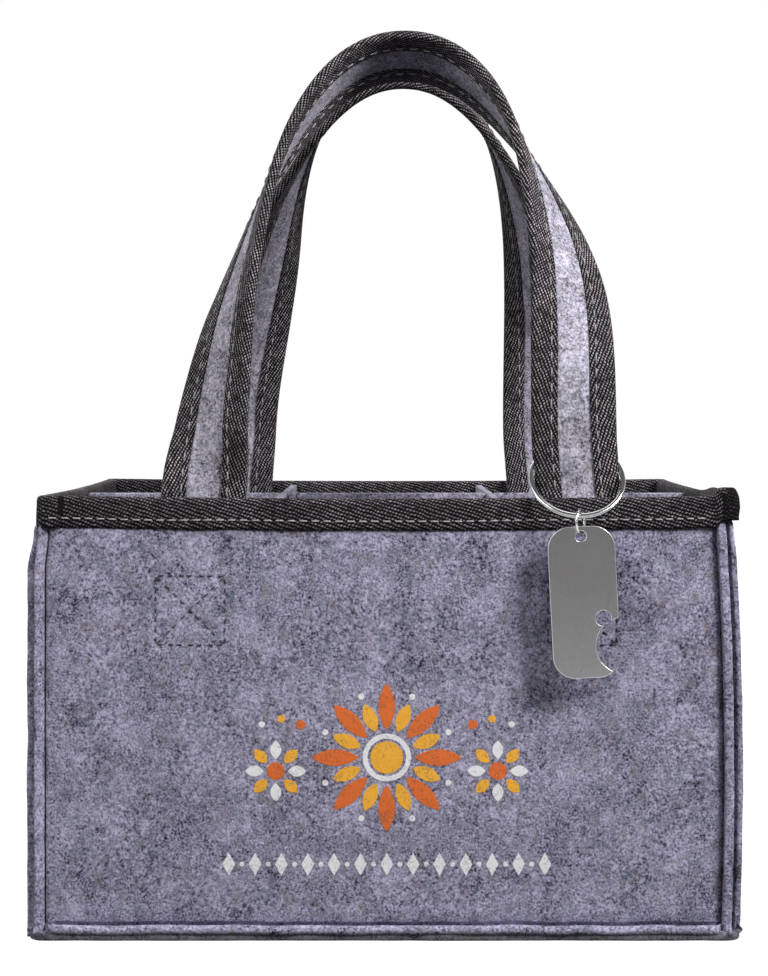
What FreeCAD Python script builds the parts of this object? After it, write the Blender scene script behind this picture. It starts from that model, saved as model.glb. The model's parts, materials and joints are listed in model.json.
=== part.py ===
import FreeCAD
import Part
import Sketcher
import math
import os
from FreeCAD import Placement, Rotation, Vector

# Felt carrier for six bottles, in millimetres.
# The origin is the middle of the base's underside. X runs to the right, Y to the back and Z up.

SIZES = {
    # sewn box
    "wall_width": 251.0,
    "wall_depth": 165.0,
    "rim_height": 160.0,
    "felt": 3.0,
    "fin_reach": 7.2,
    "fin_gap": 0.5,
    "base_corner": 3.0,
    # tape round the rim
    "rim_tape": 0.6,
    "sewn_fit": 0.05,
    "rim_drop": 12.0,
    "rim_corner": 1.2,
    "rim_stitch_drop": 9.0,
    # loose divider insert
    "divider_felt": 3.0,
    "divider_drop": 3.0,
    "divider_fit": 0.6,
    "lap_fit": 0.3,
    "insert_gap": 0.3,
    # handles
    "strap_felt_width": 29.9,
    "strap_felt": 2.6,
    "strap_tape": 0.5,
    "strap_cover": 9.5,
    "strap_gap": 0.05,
    "leg_half_spacing": 67.0,
    "handle_rise": 181.0,
    "arch_power": 2.15,
    "handle_lean": 25.0,
    "lean_run": 60.0,
    "handle_sway": 5.5,
    "sway_run": 90.0,
    "handle_shift": 1.5,
    "tail_drop": 58.0,
    "tail_splay": 4.5,
    "fold_height": 18.0,
    "fold_radius": 4.5,
    "fold_relief": 3.0,
    "early_twist": 3.2,
    "gather": 4.0,
    "gather_half": 8.0,
    # stitched boxes that hold the handle tails
    "box_stitch": 25.0,
    "box_stitch_drop": 41.5,
    "thread": 0.7,
    "thread_proud": 0.3,
    # key ring, jump ring and bottle opener
    "ring_inner": 15.8,
    "ring_wire": 2.2,
    "ring_thick": 1.9,
    "ring_groove": 0.3,
    "ring_tilt": 41.0,
    "ring_forward": 3.25,
    "ring_clear": 0.45,
    "jump_radius": 4.25,
    "jump_wire": 1.0,
    "jump_turn": 25.0,
    "jump_slit": 6.0,
    "tag_width": 24.0,
    "tag_height": 54.0,
    "tag_thick": 1.8,
    "tag_corner": 8.0,
    "tag_hole": 4.0,
    "tag_bridge": 1.5,
    "tag_slack": 0.6,
    "bowl_radius": 10.0,
    "bowl_right": 13.5,
    "bowl_down": 43.0,
    "hook_radius": 2.8,
    "hook_right": 6.6,
    "hook_down": 33.0,
}

ARCH_SECTIONS = 41
FRONT, REAR = -1, 1
LEFT, RIGHT = -1, 1

doc = FreeCAD.newDocument("bottle_carrier")
sheet = doc.addObject("Spreadsheet::Sheet", "dims")
for row, (name, number) in enumerate(SIZES.items(), start=1):
    sheet.set(f"A{row}", name)
    sheet.set(f"B{row}", str(number))
    sheet.setAlias(f"B{row}", name)
doc.recompute()

nodes = []


def value(expression):
    return float(sheet.evalExpression(expression))


def size(name):
    return value(f"dims.{name}")


def new_body(label):
    body = doc.addObject("PartDesign::Body", label)
    body.Label = label
    nodes.append(body)
    return body


def new_shape(label, shape, placement=None):
    feature = doc.addObject("Part::Feature", label)
    feature.Label = label
    feature.Shape = shape
    feature.Placement = placement or Placement()
    nodes.append(feature)
    return feature


def new_sketch(body, name, role):
    plane = next(item for item in body.Origin.OriginFeatures if item.Role == role)
    sketch = body.newObject("Sketcher::SketchObject", f"{body.Name}_{name}")
    sketch.AttachmentSupport = [(plane, "")]
    sketch.MapMode = "FlatFace"
    return sketch


def pin(sketch, geometry, end, x, y):
    """Hold one sketch point at two expressions."""
    for kind, expression in (("DistanceX", x), ("DistanceY", y)):
        rule = Sketcher.Constraint(kind, -1, 1, geometry, end, value(expression))
        index = sketch.addConstraint(rule)
        sketch.setExpression(f"Constraints[{index}]", expression)


def add_polygon(sketch, corners):
    """Add a closed outline whose corners are pairs of expressions."""
    first = sketch.GeometryCount
    count = len(corners)
    points = [Vector(value(x), value(y), 0) for x, y in corners]
    for i in range(count):
        sketch.addGeometry(Part.LineSegment(points[i], points[(i + 1) % count]), False)
    for i in range(count):
        after = first + (i + 1) % count
        sketch.addConstraint(Sketcher.Constraint("Coincident", first + i, 2, after, 1))
    for i, (x, y) in enumerate(corners):
        pin(sketch, first + i, 1, x, y)


def add_circle(sketch, x, y, radius):
    centre = Vector(value(x), value(y), 0)
    index = sketch.addGeometry(Part.Circle(centre, Vector(0, 0, 1), value(radius)), False)
    pin(sketch, index, 3, x, y)
    rule = sketch.addConstraint(Sketcher.Constraint("Radius", index, value(radius)))
    sketch.setExpression(f"Constraints[{rule}]", radius)


def add_pad(body, name, role, outlines, length):
    sketch = new_sketch(body, name + "_outline", role)
    for corners in outlines:
        add_polygon(sketch, corners)
    pad = body.newObject("PartDesign::Pad", f"{body.Name}_{name}")
    pad.Profile = sketch
    pad.setExpression("Length", length)
    doc.recompute()
    return pad


def add_pocket(body, name, sketch, length, upward=False):
    pocket = body.newObject("PartDesign::Pocket", f"{body.Name}_{name}")
    pocket.Profile = sketch
    pocket.setExpression("Length", length)
    pocket.Reversed = upward
    doc.recompute()
    return pocket


def add_fillet(body, name, base, edges, radius):
    fillet = body.newObject("PartDesign::Fillet", f"{body.Name}_{name}")
    fillet.Base = (base, edges)
    fillet.setExpression("Radius", radius)
    doc.recompute()
    return fillet


def edges_along(shape, direction, accept):
    """Name the straight edges that lie along a direction and pass a test on their middle."""
    names = []
    for number, edge in enumerate(shape.Edges, start=1):
        if not isinstance(edge.Curve, (Part.Line, Part.LineSegment)):
            continue
        run = (edge.Vertexes[-1].Point - edge.Vertexes[0].Point).normalize()
        if abs(run.dot(direction)) > 0.999 and accept(edge.CenterOfMass):
            names.append(f"Edge{number}")
    return names


def rectangle(half_x, half_y):
    return [
        (f"-({half_x})", f"-({half_y})"),
        (half_x, f"-({half_y})"),
        (half_x, half_y),
        (f"-({half_x})", half_y),
    ]


def smooth(share):
    share = min(1.0, max(0.0, share))
    return share * share * (3.0 - 2.0 * share)


# Sizes that several pieces share, as expressions.
HALF_W = "dims.wall_width / 2"
HALF_D = "dims.wall_depth / 2"
INNER_W = "(dims.wall_width / 2 - dims.felt)"
INNER_D = "(dims.wall_depth / 2 - dims.felt)"
TIP = "(dims.fin_reach / sqrt(2))"
BEND = "(dims.felt * (sqrt(2) - 1))"
EDGE = "(dims.felt / sqrt(2))"
LIP = "((dims.fin_reach + dims.felt) / sqrt(2) - dims.felt)"
WALL_TOP = "(dims.rim_height - dims.rim_tape - dims.sewn_fit)"
RIM_BACK = "(dims.rim_tape + dims.sewn_fit)"


def build_base():
    body = new_body("base_panel")
    outline = rectangle(f"{HALF_W} + {LIP}", f"{HALF_D} + {LIP}")
    plate = add_pad(body, "plate", "XY_Plane", [outline], "dims.felt")
    corners = edges_along(plate.Shape, Vector(0, 0, 1), lambda point: True)
    add_fillet(body, "corners", plate, corners, "dims.base_corner")


def panel_outlines(swap, near):
    """Return the outlines of a wall with its corner fins, of the wall alone and of its foot.

    The wall runs along X when swap is false and along Y when it is true. It stands on the
    negative side when near is -1 and on the positive side when near is 1.
    """
    inner_run = INNER_D if swap else INNER_W
    half_run = HALF_D if swap else HALF_W
    inner_out = INNER_W if swap else INNER_D
    half_out = HALF_W if swap else HALF_D

    def place(run, out):
        out = f"{near} * ({out})"
        return (out, run) if swap else (run, out)

    def both_ends(stations):
        start = [place(f"-({run})", out) for run, out in stations]
        end = [place(run, out) for run, out in reversed(stations)]
        return start + end

    finned = both_ends([
        (inner_run, inner_out),
        (f"{inner_run} + {TIP}", f"{inner_out} + {TIP}"),
        (f"{inner_run} + {TIP} - {EDGE}", f"{inner_out} + {TIP} + {EDGE}"),
        (f"{inner_run} - {BEND}", half_out),
    ])
    plain = both_ends([(inner_run, inner_out), (half_run, half_out)])
    foot = both_ends([
        (f"{inner_run} - {BEND}", half_out),
        (f"{inner_run} + {TIP} - {EDGE}", f"{half_out} + {LIP}"),
    ])
    return finned, plain, foot


def build_panel(label, swap, near):
    body = new_body(label)
    body.setExpression(".Placement.Base.z", "dims.felt")
    finned, plain, foot = panel_outlines(swap, near)
    fin_height = "dims.rim_height - dims.rim_drop - dims.fin_gap - dims.felt"
    add_pad(body, "fins", "XY_Plane", [finned], fin_height)
    add_pad(body, "wall", "XY_Plane", [plain], f"{WALL_TOP} - dims.felt")
    add_pad(body, "foot", "XY_Plane", [foot], "dims.felt")


def build_rim_binding():
    body = new_body("rim_binding")
    body.setExpression(".Placement.Base.z", "dims.rim_height - dims.rim_drop")
    outer = rectangle(f"{HALF_W} + {RIM_BACK}", f"{HALF_D} + {RIM_BACK}")
    inner = rectangle(f"{INNER_W} - {RIM_BACK}", f"{INNER_D} - {RIM_BACK}")
    ring = add_pad(body, "ring", "XY_Plane", [outer, inner], "dims.rim_drop")
    limit = value(HALF_W)
    corners = edges_along(ring.Shape, Vector(0, 0, 1), lambda point: abs(point.x) > limit)
    add_fillet(body, "corners", ring, corners, "dims.rim_corner")
    slot = new_sketch(body, "slot_outline", "XY_Plane")
    add_polygon(slot, rectangle(f"{HALF_W} + dims.sewn_fit", f"{HALF_D} + dims.sewn_fit"))
    add_polygon(slot, rectangle(f"{INNER_W} - dims.sewn_fit", f"{INNER_D} - dims.sewn_fit"))
    add_pocket(body, "slot", slot, "dims.rim_drop - dims.rim_tape", upward=True)


# Divider insert
CROSS_X = f"(({INNER_W} + dims.divider_felt) / 3)"
INSERT_FOOT = "(dims.felt + dims.insert_gap)"
INSERT_TOP = "(dims.rim_height - dims.divider_drop)"
INSERT_MIDDLE = f"(({INSERT_FOOT} + {INSERT_TOP}) / 2)"
LAP_HALF = "((dims.divider_felt + dims.lap_fit) / 2)"


def build_long_divider():
    body = new_body("long_divider")
    body.setExpression(".Placement.Base.y", "dims.divider_felt / 2")
    half = f"({INNER_W} - {RIM_BACK} - dims.divider_fit)"
    seat = f"{INSERT_MIDDLE} - dims.lap_fit / 2"
    corners = [(f"-{half}", INSERT_FOOT), (half, INSERT_FOOT), (half, INSERT_TOP)]
    for side in (1, -1):
        centre = f"{side} * {CROSS_X}"
        corners += [
            (f"{centre} + {LAP_HALF}", INSERT_TOP),
            (f"{centre} + {LAP_HALF}", seat),
            (f"{centre} - {LAP_HALF}", seat),
            (f"{centre} - {LAP_HALF}", INSERT_TOP),
        ]
    corners.append((f"-{half}", INSERT_TOP))
    add_pad(body, "sheet", "XZ_Plane", [corners], "dims.divider_felt")


def build_cross_divider(label, side):
    body = new_body(label)
    body.setExpression(".Placement.Base.x", f"{side} * {CROSS_X} - dims.divider_felt / 2")
    half = f"({INNER_D} - {RIM_BACK} - dims.divider_fit)"
    seat = f"{INSERT_MIDDLE} + dims.lap_fit / 2"
    corners = [
        (f"-{half}", INSERT_FOOT),
        (f"-{LAP_HALF}", INSERT_FOOT),
        (f"-{LAP_HALF}", seat),
        (LAP_HALF, seat),
        (LAP_HALF, INSERT_FOOT),
        (half, INSERT_FOOT),
        (half, INSERT_TOP),
        (f"-{half}", INSERT_TOP),
    ]
    add_pad(body, "sheet", "YZ_Plane", [corners], "dims.divider_felt")


# Handles. Each strap is a felt strip whose two edges are wrapped by tape.

def strap_half_thickness():
    return size("strap_felt") / 2 + size("strap_gap") + size("strap_tape")


def strap_front():
    """Y of the front handle's outer face where it lies behind the rim tape."""
    return -value(f"{INNER_D} - {RIM_BACK} - dims.strap_gap")


def strap_middle():
    return strap_front() + strap_half_thickness()


def fold_axis():
    return strap_front() - size("fold_radius"), size("rim_height") + size("fold_height")


def felt_outline(narrowing):
    half = size("strap_felt_width") / 2 - narrowing
    thick = size("strap_felt") / 2
    return [(-half, -thick), (half, -thick), (half, thick), (-half, thick)]


def tape_outline(edge):
    """Return a function that gives the folded tape's section on one edge of the strap."""
    def outline(narrowing):
        inside = size("strap_felt") / 2 + size("strap_gap")
        outside = inside + size("strap_tape")
        fold = size("strap_felt_width") / 2 + size("strap_gap") - narrowing
        back = fold + size("strap_tape")
        end = back - size("strap_cover")
        half = [(end, outside), (back, outside), (back, -outside), (end, -outside),
                (end, -inside), (fold, -inside), (fold, inside), (end, inside)]
        return [(edge * across, through) for across, through in half]
    return outline


def loft_strap(stations, outline, straight):
    """Loft one strap piece. A station is centre, across, through and narrowing."""
    wires = []
    for centre, across, through, narrowing in stations:
        points = [centre + across * u + through * w for u, w in outline(narrowing)]
        wires.append(Part.makePolygon(points + points[:1]))
    return Part.makeLoft(wires, True, straight)


def leaned(run, lean, length):
    """Return the inward way, the height and the lean after a run above the fold."""
    bend = length / lean
    if run <= length:
        angle = lean * run / length
        return bend * (1 - math.cos(angle)), bend * math.sin(angle), angle
    past = run - length
    inward = bend * (1 - math.cos(lean)) + past * math.sin(lean)
    return inward, bend * math.sin(lean) + past * math.cos(lean), lean


def arch_path(fine=720):
    """Return points, face normals and runs along the front handle's middle, left to right."""
    half = size("leg_half_spacing")
    rise = size("handle_rise")
    power = 2.0 / size("arch_power")
    fold = size("fold_height")
    start = math.asin((fold / rise) ** (1.0 / power))
    relief = (size("fold_radius") + strap_half_thickness()) * math.tan(math.radians(size("fold_relief")))
    base_z = size("rim_height") + fold + relief
    lean = math.radians(size("handle_lean"))
    points, normals, rises = [], [], []
    for i in range(fine + 1):
        turn = start + (math.pi - 2 * start) * i / fine
        across = math.cos(turn)
        u = -math.copysign(abs(across) ** power, across) * half
        v = rise * math.sin(turn) ** power
        inward, height, angle = leaned(v - fold, lean, size("lean_run"))
        sway = size("handle_sway") * smooth((v - fold) / size("sway_run"))
        x = u + sway + size("handle_shift")
        points.append(Vector(x, strap_middle() + inward, base_z + height))
        normals.append(Vector(0, -math.cos(angle), math.sin(angle)))
        rises.append((v - fold) / (rise - fold))
    return points, normals, rises


def arch_stations(left_early):
    """Return the stations of the handle loop, evenly spaced along its middle."""
    points, normals, rises = arch_path()
    along = [0.0]
    for before, after in zip(points, points[1:]):
        along.append(along[-1] + (after - before).Length)
    stations = []
    pick = 0
    for n in range(ARCH_SECTIONS):
        target = along[-1] * n / (ARCH_SECTIONS - 1)
        while pick < len(along) - 1 and along[pick] < target - 1e-9:
            pick += 1
        ahead = points[min(pick + 1, len(points) - 1)]
        behind = points[max(pick - 1, 0)]
        tangent = (ahead - behind).normalize()
        normal = normals[pick]
        inward = tangent.cross(normal).normalize()
        if left_early and target < along[-1] / 2:
            twist = math.pi / 2 * (1 - (1 - rises[pick]) ** size("early_twist"))
        else:
            twist = math.pi / 2 * smooth(rises[pick])
        across = inward * math.cos(twist) + normal * math.sin(twist)
        through = normal * math.cos(twist) - inward * math.sin(twist)
        if n in (0, ARCH_SECTIONS - 1):
            slope = math.tan(math.radians(size("fold_relief")))
            across = Vector(1 if n == 0 else -1, 0, 0)
            through = Vector(0, -1, -slope)
        stations.append((points[pick], across, through, 0.0))
    return stations


def tail_x(side, z):
    """X of a tail's middle at a height: the tails spread apart towards their lower ends."""
    points = arch_path()[0]
    top = points[0] if side == LEFT else points[-1]
    high = size("rim_height") + size("fold_height")
    return top.x + side * math.tan(math.radians(size("tail_splay"))) * (high - z)


def tail_stations(side, gathered_at=None):
    """Return the stations of one tail, from its lower end to the fold."""
    low = size("rim_height") - size("tail_drop")
    high = size("rim_height") + size("fold_height")
    reach = size("gather_half")
    heights = [low, high]
    if gathered_at is not None:
        start = gathered_at - reach
        heights = [low, (low + start) / 2]
        heights += [start + (high - start) * step / 8 for step in range(9)]
    stations = []
    for z in heights:
        narrowing = 0.0
        if gathered_at is not None and abs(z - gathered_at) < reach:
            narrowing = size("gather") * math.cos(math.pi / 2 * (z - gathered_at) / reach) ** 2
        centre = Vector(tail_x(side, z), strap_middle(), z)
        stations.append((centre, Vector(-side, 0, 0), Vector(0, -1, 0), narrowing))
    return stations


def add_strap(prefix, stations, mirrored, straight):
    pieces = {
        "felt": felt_outline,
        "inner_tape": tape_outline(1),
        "outer_tape": tape_outline(-1),
    }
    for name, outline in pieces.items():
        shape = loft_strap(stations, outline, straight)
        if mirrored:
            shape = shape.mirror(Vector(0, 0, 0), Vector(0, 1, 0))
        new_shape(f"{prefix}_{name}", shape)


def build_handles(ring):
    for end, word in ((FRONT, "front"), (REAR, "rear")):
        mirrored = end == REAR
        add_strap(f"{word}_loop", arch_stations(left_early=not mirrored), mirrored, straight=False)
        for side, hand in ((LEFT, "left"), (RIGHT, "right")):
            gathered = ring["gather_z"] if (end, side) == (FRONT, RIGHT) else None
            add_strap(f"{word}_{hand}_tail", tail_stations(side, gathered), mirrored, straight=True)


def build_box_stitch(label, end, side):
    """Build the square with crossed diagonals that holds one handle tail to its wall."""
    side_length = "dims.box_stitch"
    diagonal = "(dims.box_stitch - dims.thread) * sqrt(2)"
    half = size("box_stitch") / 2
    thread = size("thread")
    outer = end * value(HALF_D)
    y = outer - size("thread_proud") if end == FRONT else outer
    z = size("rim_height") - size("box_stitch_drop")
    centre = Vector(tail_x(side, z), y, z)
    bars = []

    def bar(length, turn, shift):
        box = doc.addObject("Part::Box", f"{label}_bar{len(bars) + 1}")
        box.setExpression("Length", length)
        box.setExpression("Width", "dims.thread_proud")
        box.setExpression("Height", "dims.thread")
        rotation = Rotation(Vector(0, 1, 0), turn)
        corner = Vector(-value(length) / 2, 0, -thread / 2)
        box.Placement = Placement(centre + shift + rotation.multVec(corner), rotation)
        bars.append(box)

    edge = half - thread / 2
    for turn, shift in ((0, (0, 0, edge)), (0, (0, 0, -edge)), (90, (edge, 0, 0)), (90, (-edge, 0, 0))):
        bar(side_length, turn, Vector(*shift))
    for turn in (45, -45):
        bar(diagonal, turn, Vector(0, 0, 0))
    joined = doc.addObject("Part::MultiFuse", label)
    joined.Label = label
    joined.Shapes = bars
    joined.Placement = Placement()
    nodes.append(joined)


def build_rim_stitch():
    """Build the four runs of stitching on the rim tape's outer face."""
    z = "dims.rim_height - dims.rim_stitch_drop - dims.thread / 2"
    runs = []
    for swap in (False, True):
        half_run = f"{HALF_D if swap else HALF_W}"
        half_out = f"({HALF_W if swap else HALF_D} + {RIM_BACK})"
        for near in (-1, 1):
            box = doc.addObject("Part::Box", f"rim_stitch_run{len(runs) + 1}")
            along, out = ("Width", "Length") if swap else ("Length", "Width")
            run_axis, out_axis = ("y", "x") if swap else ("x", "y")
            box.setExpression(along, f"2 * ({half_run}) - 2 * dims.rim_corner")
            box.setExpression(out, "dims.thread_proud")
            box.setExpression("Height", "dims.thread")
            box.setExpression(f".Placement.Base.{run_axis}", f"dims.rim_corner - ({half_run})")
            start = half_out if near == 1 else f"-{half_out} - dims.thread_proud"
            box.setExpression(f".Placement.Base.{out_axis}", start)
            box.setExpression(".Placement.Base.z", z)
            runs.append(box)
    group = doc.addObject("Part::Compound", "rim_stitch")
    group.Label = "rim_stitch"
    group.Links = runs
    group.Placement = Placement()
    nodes.append(group)


# Key ring, jump ring and opener

def ring_places():
    """Work out where the ring chain hangs, from the rim, the strap and the ring's own sizes."""
    tilt = math.radians(size("ring_tilt"))
    sine, cosine = math.sin(tilt), math.cos(tilt)
    rim_y = -value(f"{HALF_D} + {RIM_BACK}")
    centre_y = strap_middle() - size("ring_forward")
    away = size("ring_thick") / 2 + size("ring_clear")
    centre_z = size("rim_height") + (away + (centre_y - rim_y) * cosine) / sine
    middle = size("ring_inner") + size("ring_wire") / 2
    pivot_z = centre_z + (strap_middle() - centre_y) * cosine / sine
    x = tail_x(RIGHT, pivot_z)
    centre = Vector(x, centre_y, centre_z)
    wire = Vector(x, centre_y - middle * sine, centre_z - middle * cosine)
    corner = math.hypot(size("ring_wire"), size("ring_thick")) / 2
    jump_inner = size("jump_radius") - size("jump_wire") / 2
    jump = wire + Vector(0, 0, corner + size("ring_clear") - jump_inner)
    pin_point = jump - Vector(0, 0, size("jump_radius"))
    hole_drop = size("tag_hole") / 2 - size("jump_wire") / 2 - size("tag_slack")
    hole = pin_point - Vector(0, 0, hole_drop)
    rear = strap_middle() + strap_half_thickness()
    gather_z = centre_z + (rear - centre_y) * cosine / sine
    return {
        "centre": centre,
        "pivot": Vector(x, strap_middle(), pivot_z),
        "wire": wire,
        "jump": jump,
        "pin": pin_point,
        "hole": hole,
        "gather_z": gather_z,
    }


def build_key_ring(ring):
    """Build a flat split ring: two turns of wire lying on each other, with a groove between."""
    body = new_body("key_ring")
    inner = "dims.ring_inner"
    outer = "(dims.ring_inner + dims.ring_wire)"
    half = "dims.ring_thick / 2"
    cut = "dims.ring_groove"
    corners = [
        (f"{inner} + {cut}", f"-{half}"),
        (f"{outer} - {cut}", f"-{half}"),
        (outer, f"-{half} + {cut}"),
        (outer, f"-{cut}"),
        (f"{outer} - {cut}", "0"),
        (outer, cut),
        (outer, f"{half} - {cut}"),
        (f"{outer} - {cut}", half),
        (f"{inner} + {cut}", half),
        (inner, f"{half} - {cut}"),
        (inner, cut),
        (f"{inner} + {cut}", "0"),
        (inner, f"-{cut}"),
        (inner, f"-{half} + {cut}"),
    ]
    sketch = new_sketch(body, "section", "XZ_Plane")
    add_polygon(sketch, corners)
    turn = body.newObject("PartDesign::Revolution", "key_ring_turn")
    turn.Profile = sketch
    turn.ReferenceAxis = (sketch, ["V_Axis"])
    turn.Angle = 360
    doc.recompute()
    body.Placement = Placement(ring["centre"], Rotation(Vector(1, 0, 0), 90 - size("ring_tilt")))


def build_jump_ring(ring):
    torus = doc.addObject("Part::Torus", "jump_ring")
    torus.Label = "jump_ring"
    torus.setExpression("Radius1", "dims.jump_radius")
    torus.setExpression("Radius2", "dims.jump_wire / 2")
    torus.setExpression("Angle3", "360 - dims.jump_slit")
    upright = Rotation(Vector(0, 1, 0), 90)
    turned = Rotation(Vector(0, 0, 1), -size("jump_turn"))
    torus.Placement = Placement(ring["jump"], turned.multiply(upright))
    nodes.append(torus)


def build_opener(ring):
    """Build the flat opener that hangs from the jump ring. Its own zero is the hole's centre."""
    body = new_body("opener")
    top = "(dims.tag_bridge + dims.tag_hole / 2)"
    bottom = f"({top} - dims.tag_height)"
    half = "dims.tag_width / 2"
    outline = [(f"-{half}", bottom), (half, bottom), (half, top), (f"-{half}", top)]
    plate = add_pad(body, "plate", "XZ_Plane", [outline], "dims.tag_thick")
    corners = edges_along(plate.Shape, Vector(0, 1, 0), lambda point: True)
    add_fillet(body, "corners", plate, corners, "dims.tag_corner")
    cuts = {
        "hole": ("0", "0", "dims.tag_hole / 2"),
        "bowl": ("dims.bowl_right", f"{top} - dims.bowl_down", "dims.bowl_radius"),
        "hook": ("dims.hook_right", f"{top} - dims.hook_down", "dims.hook_radius"),
    }
    for name, (x, z, radius) in cuts.items():
        sketch = new_sketch(body, name + "_outline", "XZ_Plane")
        add_circle(sketch, x, z, radius)
        add_pocket(body, name, sketch, "dims.tag_thick", upward=True)
    body.Placement = Placement(ring["hole"] + Vector(0, size("tag_thick") / 2, 0), Rotation())


def check_document():
    doc.recompute()
    for item in doc.Objects:
        if "Invalid" in item.State or "Error" in item.State:
            raise RuntimeError(f"{item.Label} did not recompute: {item.State}")
    for node in nodes:
        if node.Shape.isNull() or not node.Shape.isValid() or node.Shape.Volume <= 0:
            raise RuntimeError(f"{node.Label} has no valid solid")


def export_nodes():
    os.makedirs("parts", exist_ok=True)
    for node in nodes:
        node.Shape.exportStep(f"parts/{node.Label}.step")


ring = ring_places()
build_base()
build_panel("front_panel", False, -1)
build_panel("back_panel", False, 1)
build_panel("left_side_panel", True, -1)
build_panel("right_side_panel", True, 1)
build_rim_binding()
build_long_divider()
build_cross_divider("left_cross_divider", LEFT)
build_cross_divider("right_cross_divider", RIGHT)
build_handles(ring)
for end, word in ((FRONT, "front"), (REAR, "rear")):
    for side, hand in ((LEFT, "left"), (RIGHT, "right")):
        build_box_stitch(f"{word}_{hand}_box_stitch", end, side)
build_rim_stitch()
build_key_ring(ring)
build_jump_ring(ring)
build_opener(ring)
check_document()
export_nodes()

for name, place in ring.items():
    print(name, place)
print("fold axis", fold_axis())
print(len(nodes), "nodes")
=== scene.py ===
import json
import math
import bmesh
import bpy
import numpy as np
from mathutils import Matrix, Vector, noise


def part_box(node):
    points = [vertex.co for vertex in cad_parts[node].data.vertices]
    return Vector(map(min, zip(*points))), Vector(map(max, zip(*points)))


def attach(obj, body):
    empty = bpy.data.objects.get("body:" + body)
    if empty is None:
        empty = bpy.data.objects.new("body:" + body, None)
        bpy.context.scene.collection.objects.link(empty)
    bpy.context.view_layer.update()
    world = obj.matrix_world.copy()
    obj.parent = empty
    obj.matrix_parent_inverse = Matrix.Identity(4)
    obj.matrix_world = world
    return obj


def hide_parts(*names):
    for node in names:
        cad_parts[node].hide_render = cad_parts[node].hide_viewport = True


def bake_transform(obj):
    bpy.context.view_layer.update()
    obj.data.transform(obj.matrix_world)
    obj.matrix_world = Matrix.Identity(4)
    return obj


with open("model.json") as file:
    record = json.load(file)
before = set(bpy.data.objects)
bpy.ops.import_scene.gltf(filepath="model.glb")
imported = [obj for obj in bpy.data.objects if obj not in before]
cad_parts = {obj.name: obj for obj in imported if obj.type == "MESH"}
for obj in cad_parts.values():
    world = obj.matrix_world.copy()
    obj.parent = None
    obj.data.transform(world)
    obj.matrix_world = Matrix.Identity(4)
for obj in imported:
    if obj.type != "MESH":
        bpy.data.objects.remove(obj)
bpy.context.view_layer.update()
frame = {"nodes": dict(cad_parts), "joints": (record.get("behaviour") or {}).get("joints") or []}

mm = 0.001
up = Vector((0, 0, 1))
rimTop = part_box("rim_binding")[1].z


def smooth(share):
    share = min(max(share, 0.0), 1.0)
    return share * share * (3 - 2 * share)


def between(a, b, share):
    return a + (b - a) * share


def bell(share):
    return math.exp(-share ** 2)


def uneven(x, y, z, patch, amount):
    return amount * noise.noise(Vector((x, y, z)) / patch)


class sheet(dict):
    # a piece's values, read as attributes too; the first group holds lengths in millimetres
    __getattr__ = dict.__getitem__

    def __init__(self, lengths, **others):
        super().__init__({name: length * mm for name, length in lengths.items()}, **others)


def jointPlace(name):
    return Vector(next(joint["pos_m"] for joint in frame["joints"] if joint["name"] == name))


# mesh helpers

def newObject(name, data):
    piece = bpy.data.objects.new(name, data)
    bpy.context.scene.collection.objects.link(piece)
    return piece


def closeMesh(work, mesh, name, material):
    bmesh.ops.recalc_face_normals(work, faces=work.faces)
    work.to_mesh(mesh)
    work.free()
    mesh.materials.append(material)
    return newObject(name, mesh)


def smoothPiece(name, vertices, faces, material, uvs=None):
    mesh = bpy.data.meshes.new(name)
    mesh.from_pydata([tuple(v) for v in vertices], [], faces)
    if uvs is not None:
        layer = mesh.uv_layers.new(name="run")
        layer.data.foreach_set("uv", [c for face in uvs for uv in face for c in uv])
    work = bmesh.new()
    work.from_mesh(mesh)
    piece = closeMesh(work, mesh, name, material)
    mesh.shade_smooth()
    return piece


def addModifier(piece, kind, **settings):
    modifier = piece.modifiers.new(kind.lower(), kind)
    for label, value in settings.items():
        setattr(modifier, label, value)


def applyModifiers(piece):
    shaped = piece.evaluated_get(bpy.context.evaluated_depsgraph_get())
    applied = bpy.data.meshes.new_from_object(shaped)
    piece.modifiers.clear()
    piece.data = applied
    return applied


def dress(piece, body, slotName, *nodes):
    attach(piece, body)
    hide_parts(*nodes)


def lengthsAlong(points):
    run = [0.0]
    for before, after in zip(points, points[1:]):
        run.append(run[-1] + (after - before).length)
    return run


def loft(name, rings, material, closedRun=False):
    # rings are closed loops of points; the uv map holds metres along the run and round the ring
    count, size = len(rings), len(rings[0])
    vertices = [p for ring in rings for p in ring]
    runs = lengthsAlong([ring[0] for ring in rings] + ([rings[0][0]] if closedRun else []))
    girth = lengthsAlong(rings[0] + rings[0][:1])
    faces, uvs = [], []
    for i in range(count if closedRun else count - 1):
        n = (i + 1) % count
        for j in range(size):
            k = (j + 1) % size
            faces.append((i * size + j, i * size + k, n * size + k, n * size + j))
            uvs.append(((runs[i], girth[j]), (runs[i], girth[j + 1]),
                        (runs[i + 1], girth[j + 1]), (runs[i + 1], girth[j])))
    for i in () if closedRun else (0, count - 1):
        faces.append(tuple(i * size + j for j in range(size)))
        uvs.append(tuple((runs[i], girth[j]) for j in range(size)))
    return smoothPiece(name, vertices, faces, material, uvs)


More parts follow.
